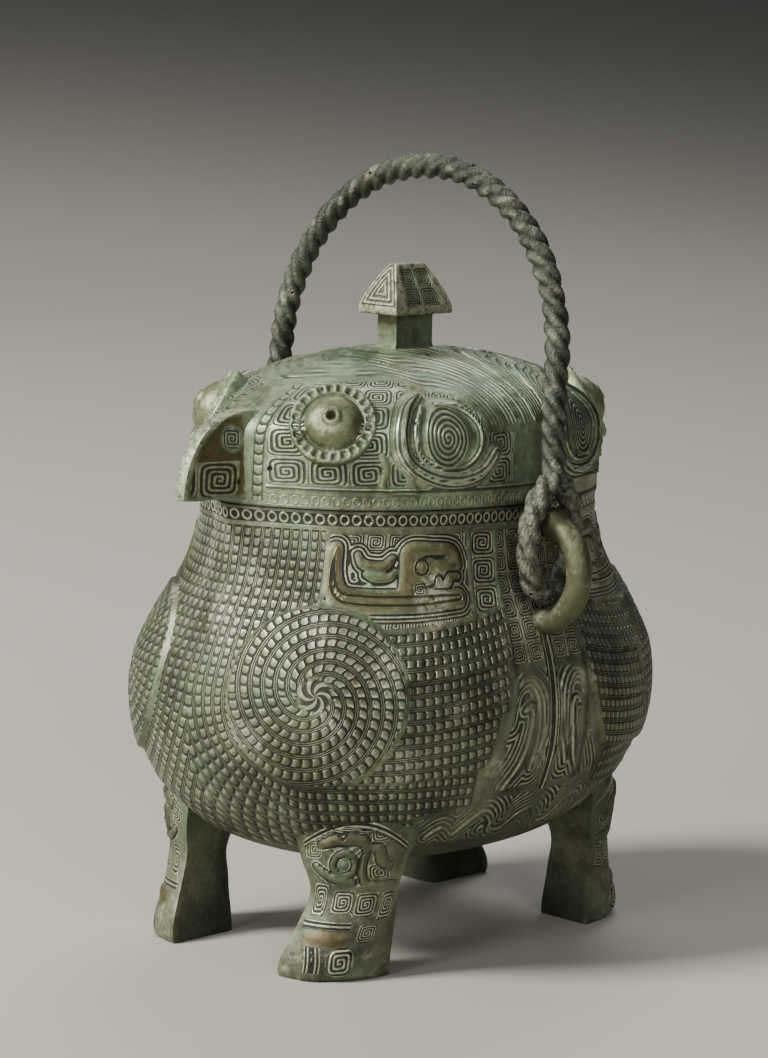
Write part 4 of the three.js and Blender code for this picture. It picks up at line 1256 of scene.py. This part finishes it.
@dataclass
class LidDome:
    """Hollow dome of the lid, carved with square spirals, feather strands and four coiled horns."""

    bottom: float = 156.5
    height: float = 47.5
    half_width: float = 59.23
    wall: float = 3.0
    prow: float = 3.5
    horn_fold: float = 58.0
    horn_height: float = 180.0
    figure_place: tuple = (43.5, 167.5)
    columns: int = 481
    row_spacing: float = 1.1
    profile: Profile = Profile((
        (0, 1), (0.42, 0.997), (0.55, 0.98), (0.66, 0.925), (0.76, 0.82), (0.87, 0.63), (0.95, 0.38),
        (0.985, 0.18), (1, 0.05),
    ))

    def at(self, turn: np.ndarray, height: np.ndarray, inset: float = 0.0) -> np.ndarray:
        """Points of the dome, before its carving, as for the body."""
        share = np.clip((np.asarray(height, float) - self.bottom) / self.height, 0, 1)
        width = np.maximum(self.half_width * self.profile.width(share) - inset, 1)
        points = oval(turn, height, width, 2.0)
        if inset:
            return points
        fade = 1 - smooth(share, 0.5, 0.75)
        return pushed_out(points, self.prow * fade * np.clip(1 - fold_of(turn) / 15, 0, 1))

    def horn(self, made: Ornament, base: np.ndarray, across: np.ndarray, up: np.ndarray,
             near: np.ndarray) -> np.ndarray:
        """Thick open coil round a fine spiral.

        Args:
            made: The carving that it is added to.
            base: Points of the bare wall, in mm.
            across: Distance aside from the coil's middle, in mm.
            up: Distance up the slope from it, in mm.
            near: True on the side of the lid that carries it.

        Returns:
            Distance to the edge of the coil's thick bar in mm, negative inside.
        """
        spiral = np.hypot(across * 1.12, up * 0.88)
        made.place(Carving.COIL, across * 1.12, up * 0.88, np.where(near, 9.6 - spiral, OFF))
        made.rise += 0.8 * smooth(9.6 - spiral, -0.5, 1.0)
        rim_bar = curve_distance(across, up, (
            (-6, 14.0, 2.6), (-12.5, 9.5, 4.0), (-16.0, 1.5, 4.6), (-14.0, -7.0, 4.8), (-6.0, -12.5, 5.0),
            (4, -14.2, 5.2), (13.5, -11.5, 4.6), (18.5, -4.5, 3.4)))
        inner_bar = curve_distance(across, up, (
            (-7, 10.6, 1.6), (-11.0, 3.0, 2.2), (-9.5, -5.5, 2.4), (-2, -9.8, 2.6), (7, -9.6, 2.6),
            (12.5, -4.0, 2.6), (12.5, 4.0, 2.4), (7.0, 10.0, 2.2), (-1.5, 11.5, 1.6)))
        ragged = grain(base, 6.0, 21) * 0.35 * smooth(-up, -2, 8)
        made.rise += smooth(-rim_bar, -0.7, 1.5) * (2.0 + ragged)
        made.rise += smooth(-inner_bar, -0.6, 0.9) * 1.3
        bars = np.minimum(rim_bar, inner_bar)
        made.outline(bars + 0.4, np.where(near, 0.9 - bars, OFF))
        lower_side = smooth(-up, 2, 9) * smooth(np.hypot(across, up), 13, 15)
        outer_edge = np.exp(-((rim_bar + 0.4) / 1.3) ** 2) * lower_side
        made.tone[..., CRUST] = np.clip(outer_edge * (0.55 + 0.6 * grain(base, 8, 8)), 0, 1)
        return rim_bar

    def carve(self, base: np.ndarray, fold: np.ndarray, height: np.ndarray, along: np.ndarray) -> Ornament:
        """Carving of the dome.

        Args:
            base: Points of the bare wall, in mm.
            fold: Degrees from the nearer beak.
            height: Heights in mm.
            along: Distance up the wall, in mm.

        Returns:
            Relief, pattern coordinates and tones.
        """
        made = Ornament.plain(base.shape[:2])
        fold, height, along = np.broadcast_arrays(fold, height, along)
        folded = -np.abs(base) * (1, 1, -1)
        rim_line = self.bottom + 5.6

        # Rim band of small rings, under a double line
        band = np.minimum(height - self.bottom - 0.5, rim_line - 0.4 - height)
        made.place(Carving.BAND, fold / 2.6, (height - self.bottom - 0.7) / 4.0, least(band + 0.2, 0.72))
        made.edge(height - rim_line, 0.4, 0.6)
        double = 1.6 - np.abs(height - rim_line - 1.0)
        made.outline(height - rim_line, np.minimum(double, (fold - 9) * 1.3))

        # Horn: a thick open coil round a fine spiral, fed by strands that come over the crown
        centre, normal, aside, upward = face_frame(self.at, self.horn_fold, self.horn_height)
        offset = folded - centre
        across, up = offset @ aside, offset @ upward
        radius = np.hypot(across, up)
        near = offset @ normal > -14
        rim_bar = self.horn(made, base, across, up, near)

        # Strands over the crown, which wrap round the coil
        strand = np.where(across < 0, up - 4.5 * smooth(-across, 0, 12), radius)
        crown = np.minimum(strand - 16.0, along - 26)
        crown = np.where(height < self.bottom + self.height * 0.42, OFF, crown)
        made.outline(strand, np.minimum(crown, 0.77 + 0.14 * grain(base, 14, 53)))
        made.rise += smooth(crown, -0.4, 1.0) * (0.45 + 0.75 * ((strand - 16) / 6.8 % 1))
        made.edge(np.where(height > 180, strand - 15.6, 9), 0.7, 0.9)

        # Face: rounded square spirals in rows, and an upright border beside the beak
        horn = np.maximum.reduce([-rim_bar + 1.0, 13.5 - radius])
        cell = 10.4
        rows_up = (along - 6.9) / 9.9
        column, ladder = 9.4, 3.4
        face = least((fold - column) * 1.4 + 0.3, height - rim_line - 1.8, -crown - 0.2, -horn, 84 - fold)
        made.place(Carving.SQUARES, (fold - column) / cell, rows_up, face)
        border = least((fold - column + ladder) * 1.5 + 0.5, (column - fold) * 1.5 + 0.4,
                       height - self.bottom - 0.6, -crown)
        made.place(Carving.ROWS, (fold - column + ladder) / ladder, -along / 3.4, border)

        # Small hooked figure between the eye and the horn
        centre, _, aside, upward = face_frame(self.at, *self.figure_place)
        offset = folded - centre
        across, up = offset @ aside, offset @ upward
        figure = curve_distance(
            across, up,
            ((-6, 7.0, 1.8), (-4.2, 3.0, 2.4), (-5.2, -3.4, 2.0), (0, -5.4, 2.0), (6.5, -5.6, 1.8)),
            ((-0.5, 6.5, 1.4), (2.6, 4.8, 2.2), (4.0, -1.0, 2.2), (6.0, -4.6, 1.8)))
        made.rise += smooth(-figure, -0.5, 0.7) * 1.1
        made.tone[..., OLIVE] = smooth(-figure, 0, 0.6) * 0.4
        squares = made.fields[Carving.SQUARES]
        squares[..., INSIDE] = np.minimum(squares[..., INSIDE], figure + 0.4)
        made.rise += grain(base, 18, 4) * 0.25 * smooth(height, 160, 166)
        made.tone[..., CRUST] = np.maximum(made.tone[..., CRUST], 0.25 * smooth(-height, -163, -158))
        # Painted shade along the lowest edge, in the gap over the body's rim
        made.tone[..., STAIN_AND_SHADE] = 0.95 * smooth(-height, -self.bottom - 0.9, -self.bottom - 0.1)
        return made

    def build(self) -> Object:
        """The dome, closed round its hollow.

        Returns:
            The carved dome.
        """
        turn = np.linspace(0, 360, self.columns)[None]
        shares = self.profile.steps(self.height, self.half_width, self.row_spacing)
        height = (self.bottom + shares * self.height)[:, None]
        base = self.at(turn, height)
        lengths = np.linalg.norm(np.diff(base[:, self.columns // 8], axis=0), axis=1)
        along = np.concatenate([[0], np.cumsum(lengths)])[:, None]
        carved = self.carve(base, fold_of(turn), height, along)
        fade = smooth(height, self.bottom + 0.2, self.bottom + 1.2)
        outer = base + grid_normals(base) * (carved.rise * fade)[..., None]
        scale = (self.height - self.wall) / self.height
        inner = [pole((0, 0, self.bottom + self.height - self.wall), self.columns)]
        for share in self.profile.steps(self.height, self.half_width, 7.0)[::-1]:
            points = self.at(turn, np.full((1, 1), self.bottom + share * self.height), self.wall)
            points[..., 2] = self.bottom + share * self.height * scale
            inner.append(points)
        points = np.concatenate([*inner, outer, pole((0, 0, self.bottom + self.height), self.columns)])
        points[:, -1] = points[:, 0]
        return Shell.make("lid_dome", points, carved.within(len(points), len(inner)))


@dataclass
class OwlEye:
    """Round eye: a rim of radial cells round a domed boss with a pit."""

    radius: float = 14.6
    rim_rise: float = 1.6
    boss_radius: float = 9.4
    boss_rise: float = 6.6
    pit_radius: float = 1.7
    seat: float = 2.2
    tilt: float = 31.0
    fold: float = 25.0
    height: float = 185.475
    cells: int = 24
    columns: int = 193

    def build(self, dome: LidDome, quarter: tuple) -> Object:
        """One eye, square to the slope of the lid.

        Args:
            dome: The lid's dome.
            quarter: Signs that take the quarter at -X and -Y to the eye's own.

        Returns:
            The closed eye.
        """
        places = smooth_places((
            (self.radius - 0.5, -3.6), (self.radius, 0.2), (self.radius - 0.5, 1.2),
            (self.radius - 1.4, self.rim_rise),
            (12.4, 1.45), (10.9, self.rim_rise), (10.0, 1.0), (self.boss_radius, 1.4), (8.6, 3.0),
            (7.0, 4.6), (5.0, 5.7), (3.6, self.boss_rise - 0.5),
            (self.pit_radius + 0.9, self.boss_rise + 0.5),
            (self.pit_radius - 0.1, self.boss_rise + 0.3), (self.pit_radius - 0.5, self.boss_rise - 1.2),
            (0.6, self.boss_rise - 2.4)), 3)
        reach, rise = np.array(places).T
        turn = np.radians(np.linspace(0, 360, self.columns))
        cell = smooth(np.abs((turn * self.cells / (2 * math.pi)) % 1 - 0.5), 0.18, 0.42)
        on_rim = smooth(reach, 10.9, 11.4) * smooth(-reach, -13.7, -13.2) * (rise > 0.5)
        sunk = on_rim[:, None] * (1 - cell)
        rise = rise[:, None] - 0.65 * sunk + 0.25 * on_rim[:, None] * cell
        centre = dome.at(self.fold, self.height)
        level = face_frame(dome.at, self.fold, dome.bottom + 4)[1]
        tilt = math.radians(self.tilt)
        axis = unit(level * math.cos(tilt) + np.array([0, 0, math.sin(tilt)]))
        aside = unit(np.cross((0, 0, 1), axis))
        upward = np.cross(axis, aside)
        seat = centre - axis * self.seat
        flat = np.cos(turn)[:, None] * aside + np.sin(turn)[:, None] * upward
        points = seat + reach[:, None, None] * flat[None] + rise[..., None] * axis
        points = points + axis * (grain(points, 6, 31) * 0.12)[..., None]
        rows, columns = points.shape[:2]
        made = Ornament.plain((rows, columns))
        boss = smooth(-reach, -9.6, -8.8)[:, None]
        made.tone[..., OLIVE] = boss * 0.45
        chalk = np.clip(0.1 + 0.75 * grain(points, 9, 14), 0, 1)
        made.tone[..., CRUST] = (1 - boss * 0.5) * chalk * (rise > 0.3)
        hollow = (reach < 1.9) * 0.35 + np.exp(-((reach - 9.8) / 0.45) ** 2) * 0.6
        made.tone[..., STAIN_AND_SHADE] = np.clip(sunk * 0.55 + hollow[:, None], 0, 1)
        under, top = seat - axis * 3.6, seat + axis * (self.boss_rise - 2.5)
        points = np.concatenate([pole(under, columns), points, pole(top, columns)])
        return Shell.mirrored("owl_eye", points, made.within(rows + 2, 1), quarter)


@dataclass
class Beak:
    """Hooked beak at one end of the lid, with a thick front ridge and recessed, carved sides."""

    front: float = 78.3
    foot: float = 157.5
    reach: float = 25.5
    height: float = 30.0
    root_half: float = 8.5
    ridge_half: float = 2.2
    root_depth: float = 6.0
    side_columns: int = 22

    def build(self, side: int) -> Object:
        """The beak at -X (side -1) or +X (side 1)."""
        stations = smooth_places((
            (1, 0.1, 0.99, 0.8), (0.86, 0.42, 0.9, 1), (0.66, 0.68, 0.74, 1), (0.46, 0.86, 0.52, 1),
            (0.28, 0.96, 0.3, 1), (0.1, 1, 0.09, 1), (0.03, 0.95, 0.04, 1), (0, 0.6, 0.06, 0.9)), 9)
        loops = []
        near = np.linspace(0, 1, self.side_columns)
        for root_share, reach_share, ridge_share, half_share in stations:
            root_z = self.foot + self.height * root_share
            ridge_z = self.foot + self.height * ridge_share
            half = self.root_half * half_share
            x = (self.front - self.root_depth) + (self.root_depth + self.reach * reach_share) * near
            z = root_z + (ridge_z - root_z) * near
            y = half + (self.ridge_half - half) * near
            border = (1 - near) * (self.root_depth + self.reach * reach_share)
            recess = smooth(border, 1.9, 2.6) * smooth(near, 0.24, 0.28) * smooth(root_share, 0.03, 0.12)
            recess = recess * smooth(-root_share, -0.97, -0.85)
            y = y - recess * 1.1
            one = np.stack([x, -y, z], -1)
            nose = np.stack([x[-1:] + 0.5, np.zeros(1), z[-1:]], -1)
            other = np.stack([x, y, z], -1)[::-1]
            back = np.stack([x[:1], np.zeros(1), z[:1]], -1)
            loops.append(np.concatenate([one, nose, other, back, one[:1]]))
        base = np.array(loops)
        made = Ornament.plain(base.shape[:2])
        x, y, z = base[..., 0] - self.front, base[..., 1], base[..., 2] - self.foot
        flank = np.abs(y) > self.ridge_half * 0.5
        edge = least(self.reach_at(z) - x - 2.4, z - 1.6, x - 1.2)
        panel = np.where(flank & (z < 14.5), np.minimum(edge, 14.5 - z), OFF)
        made.place(Carving.SQUARES, (x - 3.4) / 15.6, (z - 1.4) / 12.4, np.where(x > 3.4, panel, OFF))
        nostril = np.hypot(x - 6.2, z - 21.0)
        whorl = np.where(flank, 4.2 - nostril, OFF)
        made.place(Carving.SQUARES, (x - 6.2) / 9.0 + 0.5, (z - 21.0) / 9.0 + 0.5, whorl)
        made.tone[..., CRUST] = smooth(x - self.reach_at(z), -2.8, -0.8) * 0.6
        made.tone[..., OLIVE] = smooth(edge, 0.2, 1.4) * smooth(nostril, 4.0, 5.0)
        made.tone[..., STAIN_AND_SHADE] = made.tone[..., OLIVE] * 0.5
        points = base + grid_normals(base) * (grain(base, 12, 17) * 0.12)[..., None]
        columns = points.shape[1]
        start = points[0].mean(0)
        stop = points[-1].mean(0)
        points = np.concatenate([pole(start, columns), points, pole(stop, columns)])
        made = made.capped()
        points = points * (side, side, 1)
        points[:, -1] = points[:, 0]
        piece = Shell.make("beak", points, made)
        Shell.turn_outward()
        return piece

    def reach_at(self, z: np.ndarray) -> np.ndarray:
        """Reach of the front ridge at heights above the beak's foot, in mm."""
        shares = np.array([
            (0.04, 0.95), (0.09, 1), (0.3, 0.96), (0.52, 0.86), (0.74, 0.68), (0.9, 0.42), (0.99, 0.1)])
        return np.interp(z / self.height, shares[:, 0], shares[:, 1]) * self.reach


@dataclass
class Knob:
    """Flat post under a small hipped roof, with carved roof faces."""

    base: float = 204.0
    post: tuple = (17.8, 9.0, 12.0)
    cap: tuple = (27.6, 18.0, 17.0)
    cap_edge: float = 2.2
    ridge: tuple = (14.0, 3.0)
    per_side: int = 22

    def ring(self, length: float, width: float, z: float) -> np.ndarray:
        """Points round a rectangle, evenly stepped on each side."""
        corners = [(-1, -1), (1, -1), (1, 1), (-1, 1), (-1, -1)]
        places = []
        for (ax, ay), (bx, by) in zip(corners[:-1], corners[1:]):
            for t in np.arange(self.per_side) / self.per_side:
                places.append(((ax + (bx - ax) * t) * length / 2, (ay + (by - ay) * t) * width / 2, z))
        places.append(places[0])
        return np.array(places)

    def build(self) -> list:
        """The post and the roof."""
        length, width, height = self.post
        under = self.base + height
        rings = [self.ring(length * s, width * s, z) for z, s in (
            (self.base - 2, 1.06), (self.base + 0.5, 1.05), (self.base + 2, 1.0), (under - 1, 1.0),
            (under + 1.1, 1.04))]
        post = self.closed("knob_post", np.array(rings), 0.0)
        length, width, height = self.cap
        levels = [self.ring(length - 1, width - 1, under), self.ring(length, width, under + 0.5),
                  self.ring(length, width, under + self.cap_edge)]
        for t in np.linspace(0, 1, 24)[1:]:
            bulge = 1.0 - t ** 1.35
            levels.append(self.ring(self.ridge[0] + (length - self.ridge[0]) * bulge,
                                    self.ridge[1] + (width - self.ridge[1]) * bulge,
                                    under + self.cap_edge + (height - self.cap_edge) * t))
        roof = self.closed("knob_roof", np.array(levels), under + self.cap_edge)
        return [post, roof]

    def closed(self, name: str, points: np.ndarray, carved_from: float) -> Object:
        """Close a stack of rings, carved above a height if one is given.

        Args:
            name: Name of the piece.
            points: Rings of points, in mm.
            carved_from: Height in mm above which the faces are carved, or 0 for a plain piece.

        Returns:
            The closed piece.
        """
        made = Ornament.plain(points.shape[:2])
        if carved_from:
            x, y, z = points[..., 0], points[..., 1], points[..., 2]
            share = np.clip((z - carved_from) / (self.cap[2] - self.cap_edge), 0, 1)
            bulge = 1.0 - share ** 1.35
            half_x = (self.ridge[0] + (self.cap[0] - self.ridge[0]) * bulge) / 2
            half_y = (self.ridge[1] + (self.cap[1] - self.ridge[1]) * bulge) / 2
            slope = share * 16.6
            on_long = np.abs(y) > half_y - 0.01
            on_end = np.abs(x) > half_x - 0.01
            above = z > carved_from + 0.1
            cell = 8.6 - 2.2 * share
            long_field = least(cell + 0.4 - np.abs(x), slope - 0.4, 15.6 - slope)
            long_field = np.where(on_long & above, long_field, OFF)
            made.place(Carving.SQUARES, np.abs(x) / cell, (slope - 0.9) / 7.2, long_field)
            end_field = np.where(on_end & above & ~on_long, half_y - np.abs(y), OFF)
            end_depth = least(half_y - np.abs(y), slope, 17 - slope)
            made.outline(end_depth * 0.8, np.minimum(end_field, slope))
            inner = smooth(long_field, 0.4, 1.2)
            made.rise -= inner * 0.35
            made.tone[..., OLIVE] = 0.4
            made.tone[..., CRUST] = 0.75 * (1 - inner)
            made.tone[..., STAIN_AND_SHADE] = 0.2 * inner
        else:
            made.tone[..., STAIN_AND_SHADE] = 0.4
        base = points
        points = base + grid_normals(base) * (made.rise + grain(base, 5, 23) * 0.12)[..., None]
        columns = points.shape[1]
        low = (0, 0, points[0, 0, 2])
        high = (0, 0, points[-1, 0, 2])
        points = np.concatenate([pole(low, columns), points, pole(high, columns)])
        made = made.capped()
        points[:, -1] = points[:, 0]
        return Shell.make(name, points, made)


@dataclass
class LidPiece:
    """Dome, four eyes, two beaks and the knob, cast as one."""

    dome: LidDome
    eye: OwlEye
    beak: Beak
    knob: Knob
    edge_angle: float = 50.0

    def build(self, finish: Material) -> Object:
        """The whole casting, dressed."""
        parts = [self.dome.build()]
        parts += [self.eye.build(self.dome, quarter) for quarter in QUARTERS]
        parts += [self.beak.build(side) for side in SIDES]
        parts += self.knob.build()
        return joined(parts, "cast_lid", self.edge_angle, finish)


@dataclass
class RopeHandle:
    """Rigid bail cast as a three-strand rope, with a twisted eye at each end that hangs on a ring."""

    pivot: float = 151.9666
    lean: float = 5.7
    half_span: float = 66.0
    straight: float = 49.0
    start: float = 10.0
    twist: float = -20.0
    reach: float = 4.35
    strands: int = 3
    strand_share: float = 0.58
    filament_rise: float = 0.11
    filaments: int = 5
    gap_dirt_and_shade: float = 0.8
    eye_crust: float = 0.32
    eye_side: float = 70.5
    eye_half_width: float = 10.6
    eye_crown: float = 13.0
    eye_drop: float = 24.5
    eye_bar: float = 4.1
    eye_twists: int = 4
    columns: int = 91
    eye_steps: int = 84
    step: float = 0.8
    edge_angle: float = 75.0

    def section(self, turn: np.ndarray, reach: float) -> np.ndarray:
        """Lobed sections, each turned by its own angle.

        Args:
            turn: Angle of each section, in radians.
            reach: Distance from the middle to a strand's crown, in mm.

        Returns:
            For each section, rows of (out, side) places in mm.
        """
        around = np.radians(np.linspace(0, 360, self.columns))
        apart = 2 * math.pi / self.strands
        local = (around[None] - turn[:, None] + apart / 2) % apart - apart / 2
        strand = reach * self.strand_share
        offset = reach - strand
        chord = np.maximum(strand ** 2 - (offset * np.sin(local)) ** 2, 0.01)
        size = offset * np.cos(local) + np.sqrt(chord)
        size += self.filament_rise * np.cos(self.filaments * self.strands * local)
        return size[..., None] * np.stack([np.cos(around), np.sin(around)], -1)[None]

    def bail(self) -> Object:
        """The rope from one eye over to the other."""
        straight = self.straight - self.start
        arc = math.pi * self.half_span
        length = 2 * straight + arc
        s = np.linspace(0, length, round(length / self.step))
        angle = np.clip((s - straight) / self.half_span, 0, math.pi)
        out = np.stack([0 * s, -np.cos(angle), np.sin(angle)], -1)
        centres = out * self.half_span
        below = np.maximum.reduce([straight - s, s - straight - arc, 0 * s])
        centres[:, 2] += self.straight - below
        spread = (self.eye_side - self.half_span) * (below / straight) ** 1.5
        centres[:, 1] += np.sign(centres[:, 1]) * spread
        flat = np.tile((1.0, 0, 0), (len(s), 1))
        thick = 1 + 0.05 * grain(centres, 14, 2)
        section = self.section(2 * math.pi * s / self.twist, self.reach) * thick[:, None, None]
        return sweep("rope_bail", centres, out, flat, section, gap_dirt_and_shade=self.gap_dirt_and_shade)

    def eye(self, side: int) -> Object:
        """The closed loop at one end, twisted like the rope."""
        around = np.linspace(0, 2 * math.pi, self.eye_steps)
        middle = (self.eye_crown - self.eye_drop) / 2
        reach = (self.eye_crown + self.eye_drop) / 2
        centres = np.stack([self.eye_half_width * np.sin(around), 0 * around + side * self.eye_side,
                            middle - reach * np.cos(around)], -1)
        tangent = np.stack([self.eye_half_width * np.cos(around), 0 * around, reach * np.sin(around)], -1)
        level = np.tile((0, 1.0, 0), (len(around), 1))
        out = unit(np.cross(level, tangent))
        section = self.section(-around * self.eye_twists, self.eye_bar)
        tone = (0, self.eye_crust, 0)
        return sweep("rope_eye", centres, out, level, section, tone, self.gap_dirt_and_shade / 2, round_trip=True)

    def build(self, finish: Material) -> Object:
        """The whole casting, leaning at rest as in its frame, dressed."""
        parts = [self.bail(), self.eye(-1), self.eye(1)]
        whole = joined(parts, "cast_handle", self.edge_angle, finish)
        lean = math.radians(self.lean)
        turned = np.array([
            [math.cos(lean), 0, math.sin(lean)], [0, 1, 0], [-math.sin(lean), 0, math.cos(lean)]])
        mesh = whole.data
        points = np.empty(len(mesh.vertices) * 3, np.float32)
        mesh.vertices.foreach_get("co", points)
        points = points.reshape(-1, 3) @ turned.T + (0, 0, self.pivot * MM)
        mesh.vertices.foreach_set("co", points.astype(np.float32).ravel())
        mesh.update()
        Shell.turn_outward()
        return whole


# Finishes

BODY_BRONZE = CarvedBronze(
    name="patinated_cast_bronze_body", deep="#4a4e3e", pale="#7f836b", mint="#688463", olive="#5e5635",
    crust="#bcb9a4", soil_and_shade="#11120c", wear_and_highlight="#c0bda2",
    coil_arms=COIL_ARMS, coil_pitch=COIL_PITCH, coil_beaded=True)
LID_BRONZE = CarvedBronze(
    name="patinated_cast_bronze_lid", deep="#48543f", pale="#8b9779", mint="#769871", olive="#655b36",
    crust="#b9b19b", soil_and_shade="#151811", wear_and_highlight="#adb69b", line_pitch=1.4, bead_rise=0.5,
    bead_half_width=0.34, soil_and_shade_share=0.8, pit_share=0.06)
HANDLE_BRONZE = CarvedBronze(
    name="patinated_cast_bronze_handle", deep="#2b2e25", pale="#4d5143", mint="#4e5b4b", olive="#46402b",
    crust="#aaa995", soil_and_shade="#181a13", wear_and_highlight="#838a77", carvings=(), fleck_size=3.4, fleck_rise=1.3,
    pit_share=0.07, pit_spacing=3.5)


@dataclass(frozen=True)
class PaperWithPaintedFalloff:
    """Matt studio paper with painted light falloff: pale under the object and darker towards its far edge.
    """

    name: str = "matt_paper_with_painted_falloff"
    colour: str = "#b4b0a4"
    middle: tuple = (0.97, -1.0, 0.0)
    pale_reach: float = 0.4
    dark_reach: float = 5.2
    dark_share: float = 0.07
    far_reach: tuple = (3.1, 4.9)
    far_share: float = 0.25

    def build(self) -> Material:
        """The material, shaded by the distance from the lamps' side of the object."""
        material = bpy.data.materials.new(self.name)
        material.use_nodes = True
        tree = material.node_tree
        tree.nodes.clear()
        place = add(tree, "TexCoord").node.outputs["Object"]
        place = add(tree, "VectorMath", (place, self.middle), operation="ADD")
        away = add(tree, "VectorMath", (place,), operation="LENGTH").node.outputs["Value"]
        shade = add(tree, "MapRange", (away, self.pale_reach, self.dark_reach, 1.0, self.dark_share))
        far = add(tree, "MapRange", (away, *self.far_reach, 1.0, self.far_share), **SOFT)
        shade = add(tree, "Math", (shade, far), operation="MULTIPLY")
        colour = add(tree, "VectorMath", (linear(self.colour)[:3], shade), operation="MULTIPLY")
        shader = add(tree, "BsdfPrincipled", (colour,))
        shader.node.inputs["Roughness"].default_value = 0.7
        add(tree, "OutputMaterial", (shader,))
        return material


@dataclass
class Studio:
    """Pale floor, soft lights, and the camera at the photograph's angle."""

    azimuth: float = -46.0
    distance: float = 1188.83
    eye_height: float = 318.8
    lens: float = 117.38
    pitch: float = 8.54
    roll: float = 1.55
    yaw: float = 0.26
    floor_reach: float = 2.4
    sweep_radius: float = 6.5
    sky_strength: float = 0.135

    def camera(self) -> None:
        """Camera whose place and turn were fitted to the photograph's outline."""
        data = bpy.data.cameras.new("camera")
        data.sensor_width = 36
        data.lens = self.lens
        data.clip_end = 60
        eye = bpy.data.objects.new("camera", data)
        bpy.context.collection.objects.link(eye)
        azimuth = math.radians(self.azimuth)
        eye.location = Vector((math.sin(azimuth) * self.distance, -math.cos(azimuth) * self.distance,
                               self.eye_height)) * MM
        turned = math.radians(self.azimuth + self.yaw)
        forward = np.array([-math.sin(turned), math.cos(turned), 0])
        right = np.array([math.cos(turned), math.sin(turned), 0])
        pitch = math.radians(self.pitch)
        look = forward * math.cos(pitch) - np.array([0, 0, math.sin(pitch)])
        up = np.cross(right, look)
        roll = math.radians(self.roll)
        rolled = right * math.cos(roll) + up * math.sin(roll)
        up = up * math.cos(roll) - right * math.sin(roll)
        turn = np.stack([rolled, up, -look], 1)
        eye.rotation_mode = "QUATERNION"
        eye.rotation_quaternion = Matrix(turn.tolist()).to_quaternion()
        bpy.context.scene.camera = eye

    def light(self, name: str, place: tuple, aim: tuple, size: float, power: float, colour: tuple) -> None:
        """Square soft light.

        Args:
            name: Name of the light.
            place: Where it stands, in metres.
            aim: Where it points, in metres.
            size: Its side, in metres.
            power: Its power, in watts.
            colour: Its linear colour.
        """
        data = bpy.data.lights.new(name, "AREA")
        data.size = size
        data.energy = power
        data.color = colour
        lamp = bpy.data.objects.new(name, data)
        bpy.context.collection.objects.link(lamp)
        lamp.location = place
        direction = Vector(aim) - Vector(place)
        lamp.rotation_mode = "QUATERNION"
        lamp.rotation_quaternion = direction.to_track_quat("-Z", "Y")

    def build(self) -> None:
        """Floor, lights, world and camera."""
        self.floor()
        world = bpy.data.worlds.new("studio")
        world.use_nodes = True
        sky = world.node_tree.nodes["Background"]
        sky.inputs[0].default_value = (1.0, 0.995, 0.98, 1.0)
        sky.inputs[1].default_value = self.sky_strength
        bpy.context.scene.world = world
        belly = (0, 0, 0.1)
        far_floor = (2.0, 3.0, 0)
        warm, white = (1.0, 0.99, 0.96), (1.0, 1.0, 1.0)
        self.light("key", (-2.45, 1.15, 2.4), belly, 0.9, 262, warm)
        self.light("side", (-2.9, -0.3, 1.15), belly, 0.9, 38, warm)
        self.light("front", (-1.4, -3.0, 1.7), belly, 1.2, 40, white)
        self.light("background", (2.6, 2.0, 3.4), far_floor, 2.0, 105, white)
        self.camera()

    def floor(self) -> None:
        """Round floor that sweeps up at its far edge."""
        around = np.radians(np.linspace(0, 360, 97))
        bend = np.radians(np.linspace(0, 80, 41))
        level = np.linspace(0.001, self.floor_reach, 12)
        reach = np.concatenate([level, self.floor_reach + self.sweep_radius * np.sin(bend)])
        rise = np.concatenate([0 * level, self.sweep_radius * (1 - np.cos(bend))])
        x, y = reach[:, None] * np.cos(around), reach[:, None] * np.sin(around)
        points = np.stack([x, y, np.repeat(rise[:, None], len(around), 1)], -1) / MM
        points[:, -1] = points[:, 0]
        floor = Shell.make("floor", points, Ornament.plain(points.shape[:2]))
        bpy.ops.object.shade_smooth()
        floor.data.materials.append(PaperWithPaintedFalloff().build())


def main() -> None:
    """Build the pieces in order, set them on their bodies and report them."""
    logging.basicConfig(level=logging.INFO, format="%(message)s")
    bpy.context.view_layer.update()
    body_bronze = BODY_BRONZE.build()
    lid_bronze = LID_BRONZE.build()
    handle_bronze = HANDLE_BRONZE.build()
    vessel = VesselPiece(Body(), Leg(), SideRing()).build(body_bronze)
    lid = LidPiece(LidDome(), OwlEye(), Beak(), Knob()).build(lid_bronze)
    handle = RopeHandle().build(handle_bronze)
    rows = ((vessel, "vessel", "vessel", "bronze_body"), (lid, "vessel", "lid", "bronze_lid"),
            (handle, "handle", "handle", "bronze_handle"))
    for piece, body, node, slot in rows:
        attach(piece, body)
        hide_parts(node)
        triangles = sum(len(face.vertices) - 2 for face in piece.data.polygons)
        log.info("%s: %d triangles, on body %s", piece.name, triangles, body)
    Studio().build()
    bpy.context.view_layer.update()


if __name__ == "__main__":
    main()
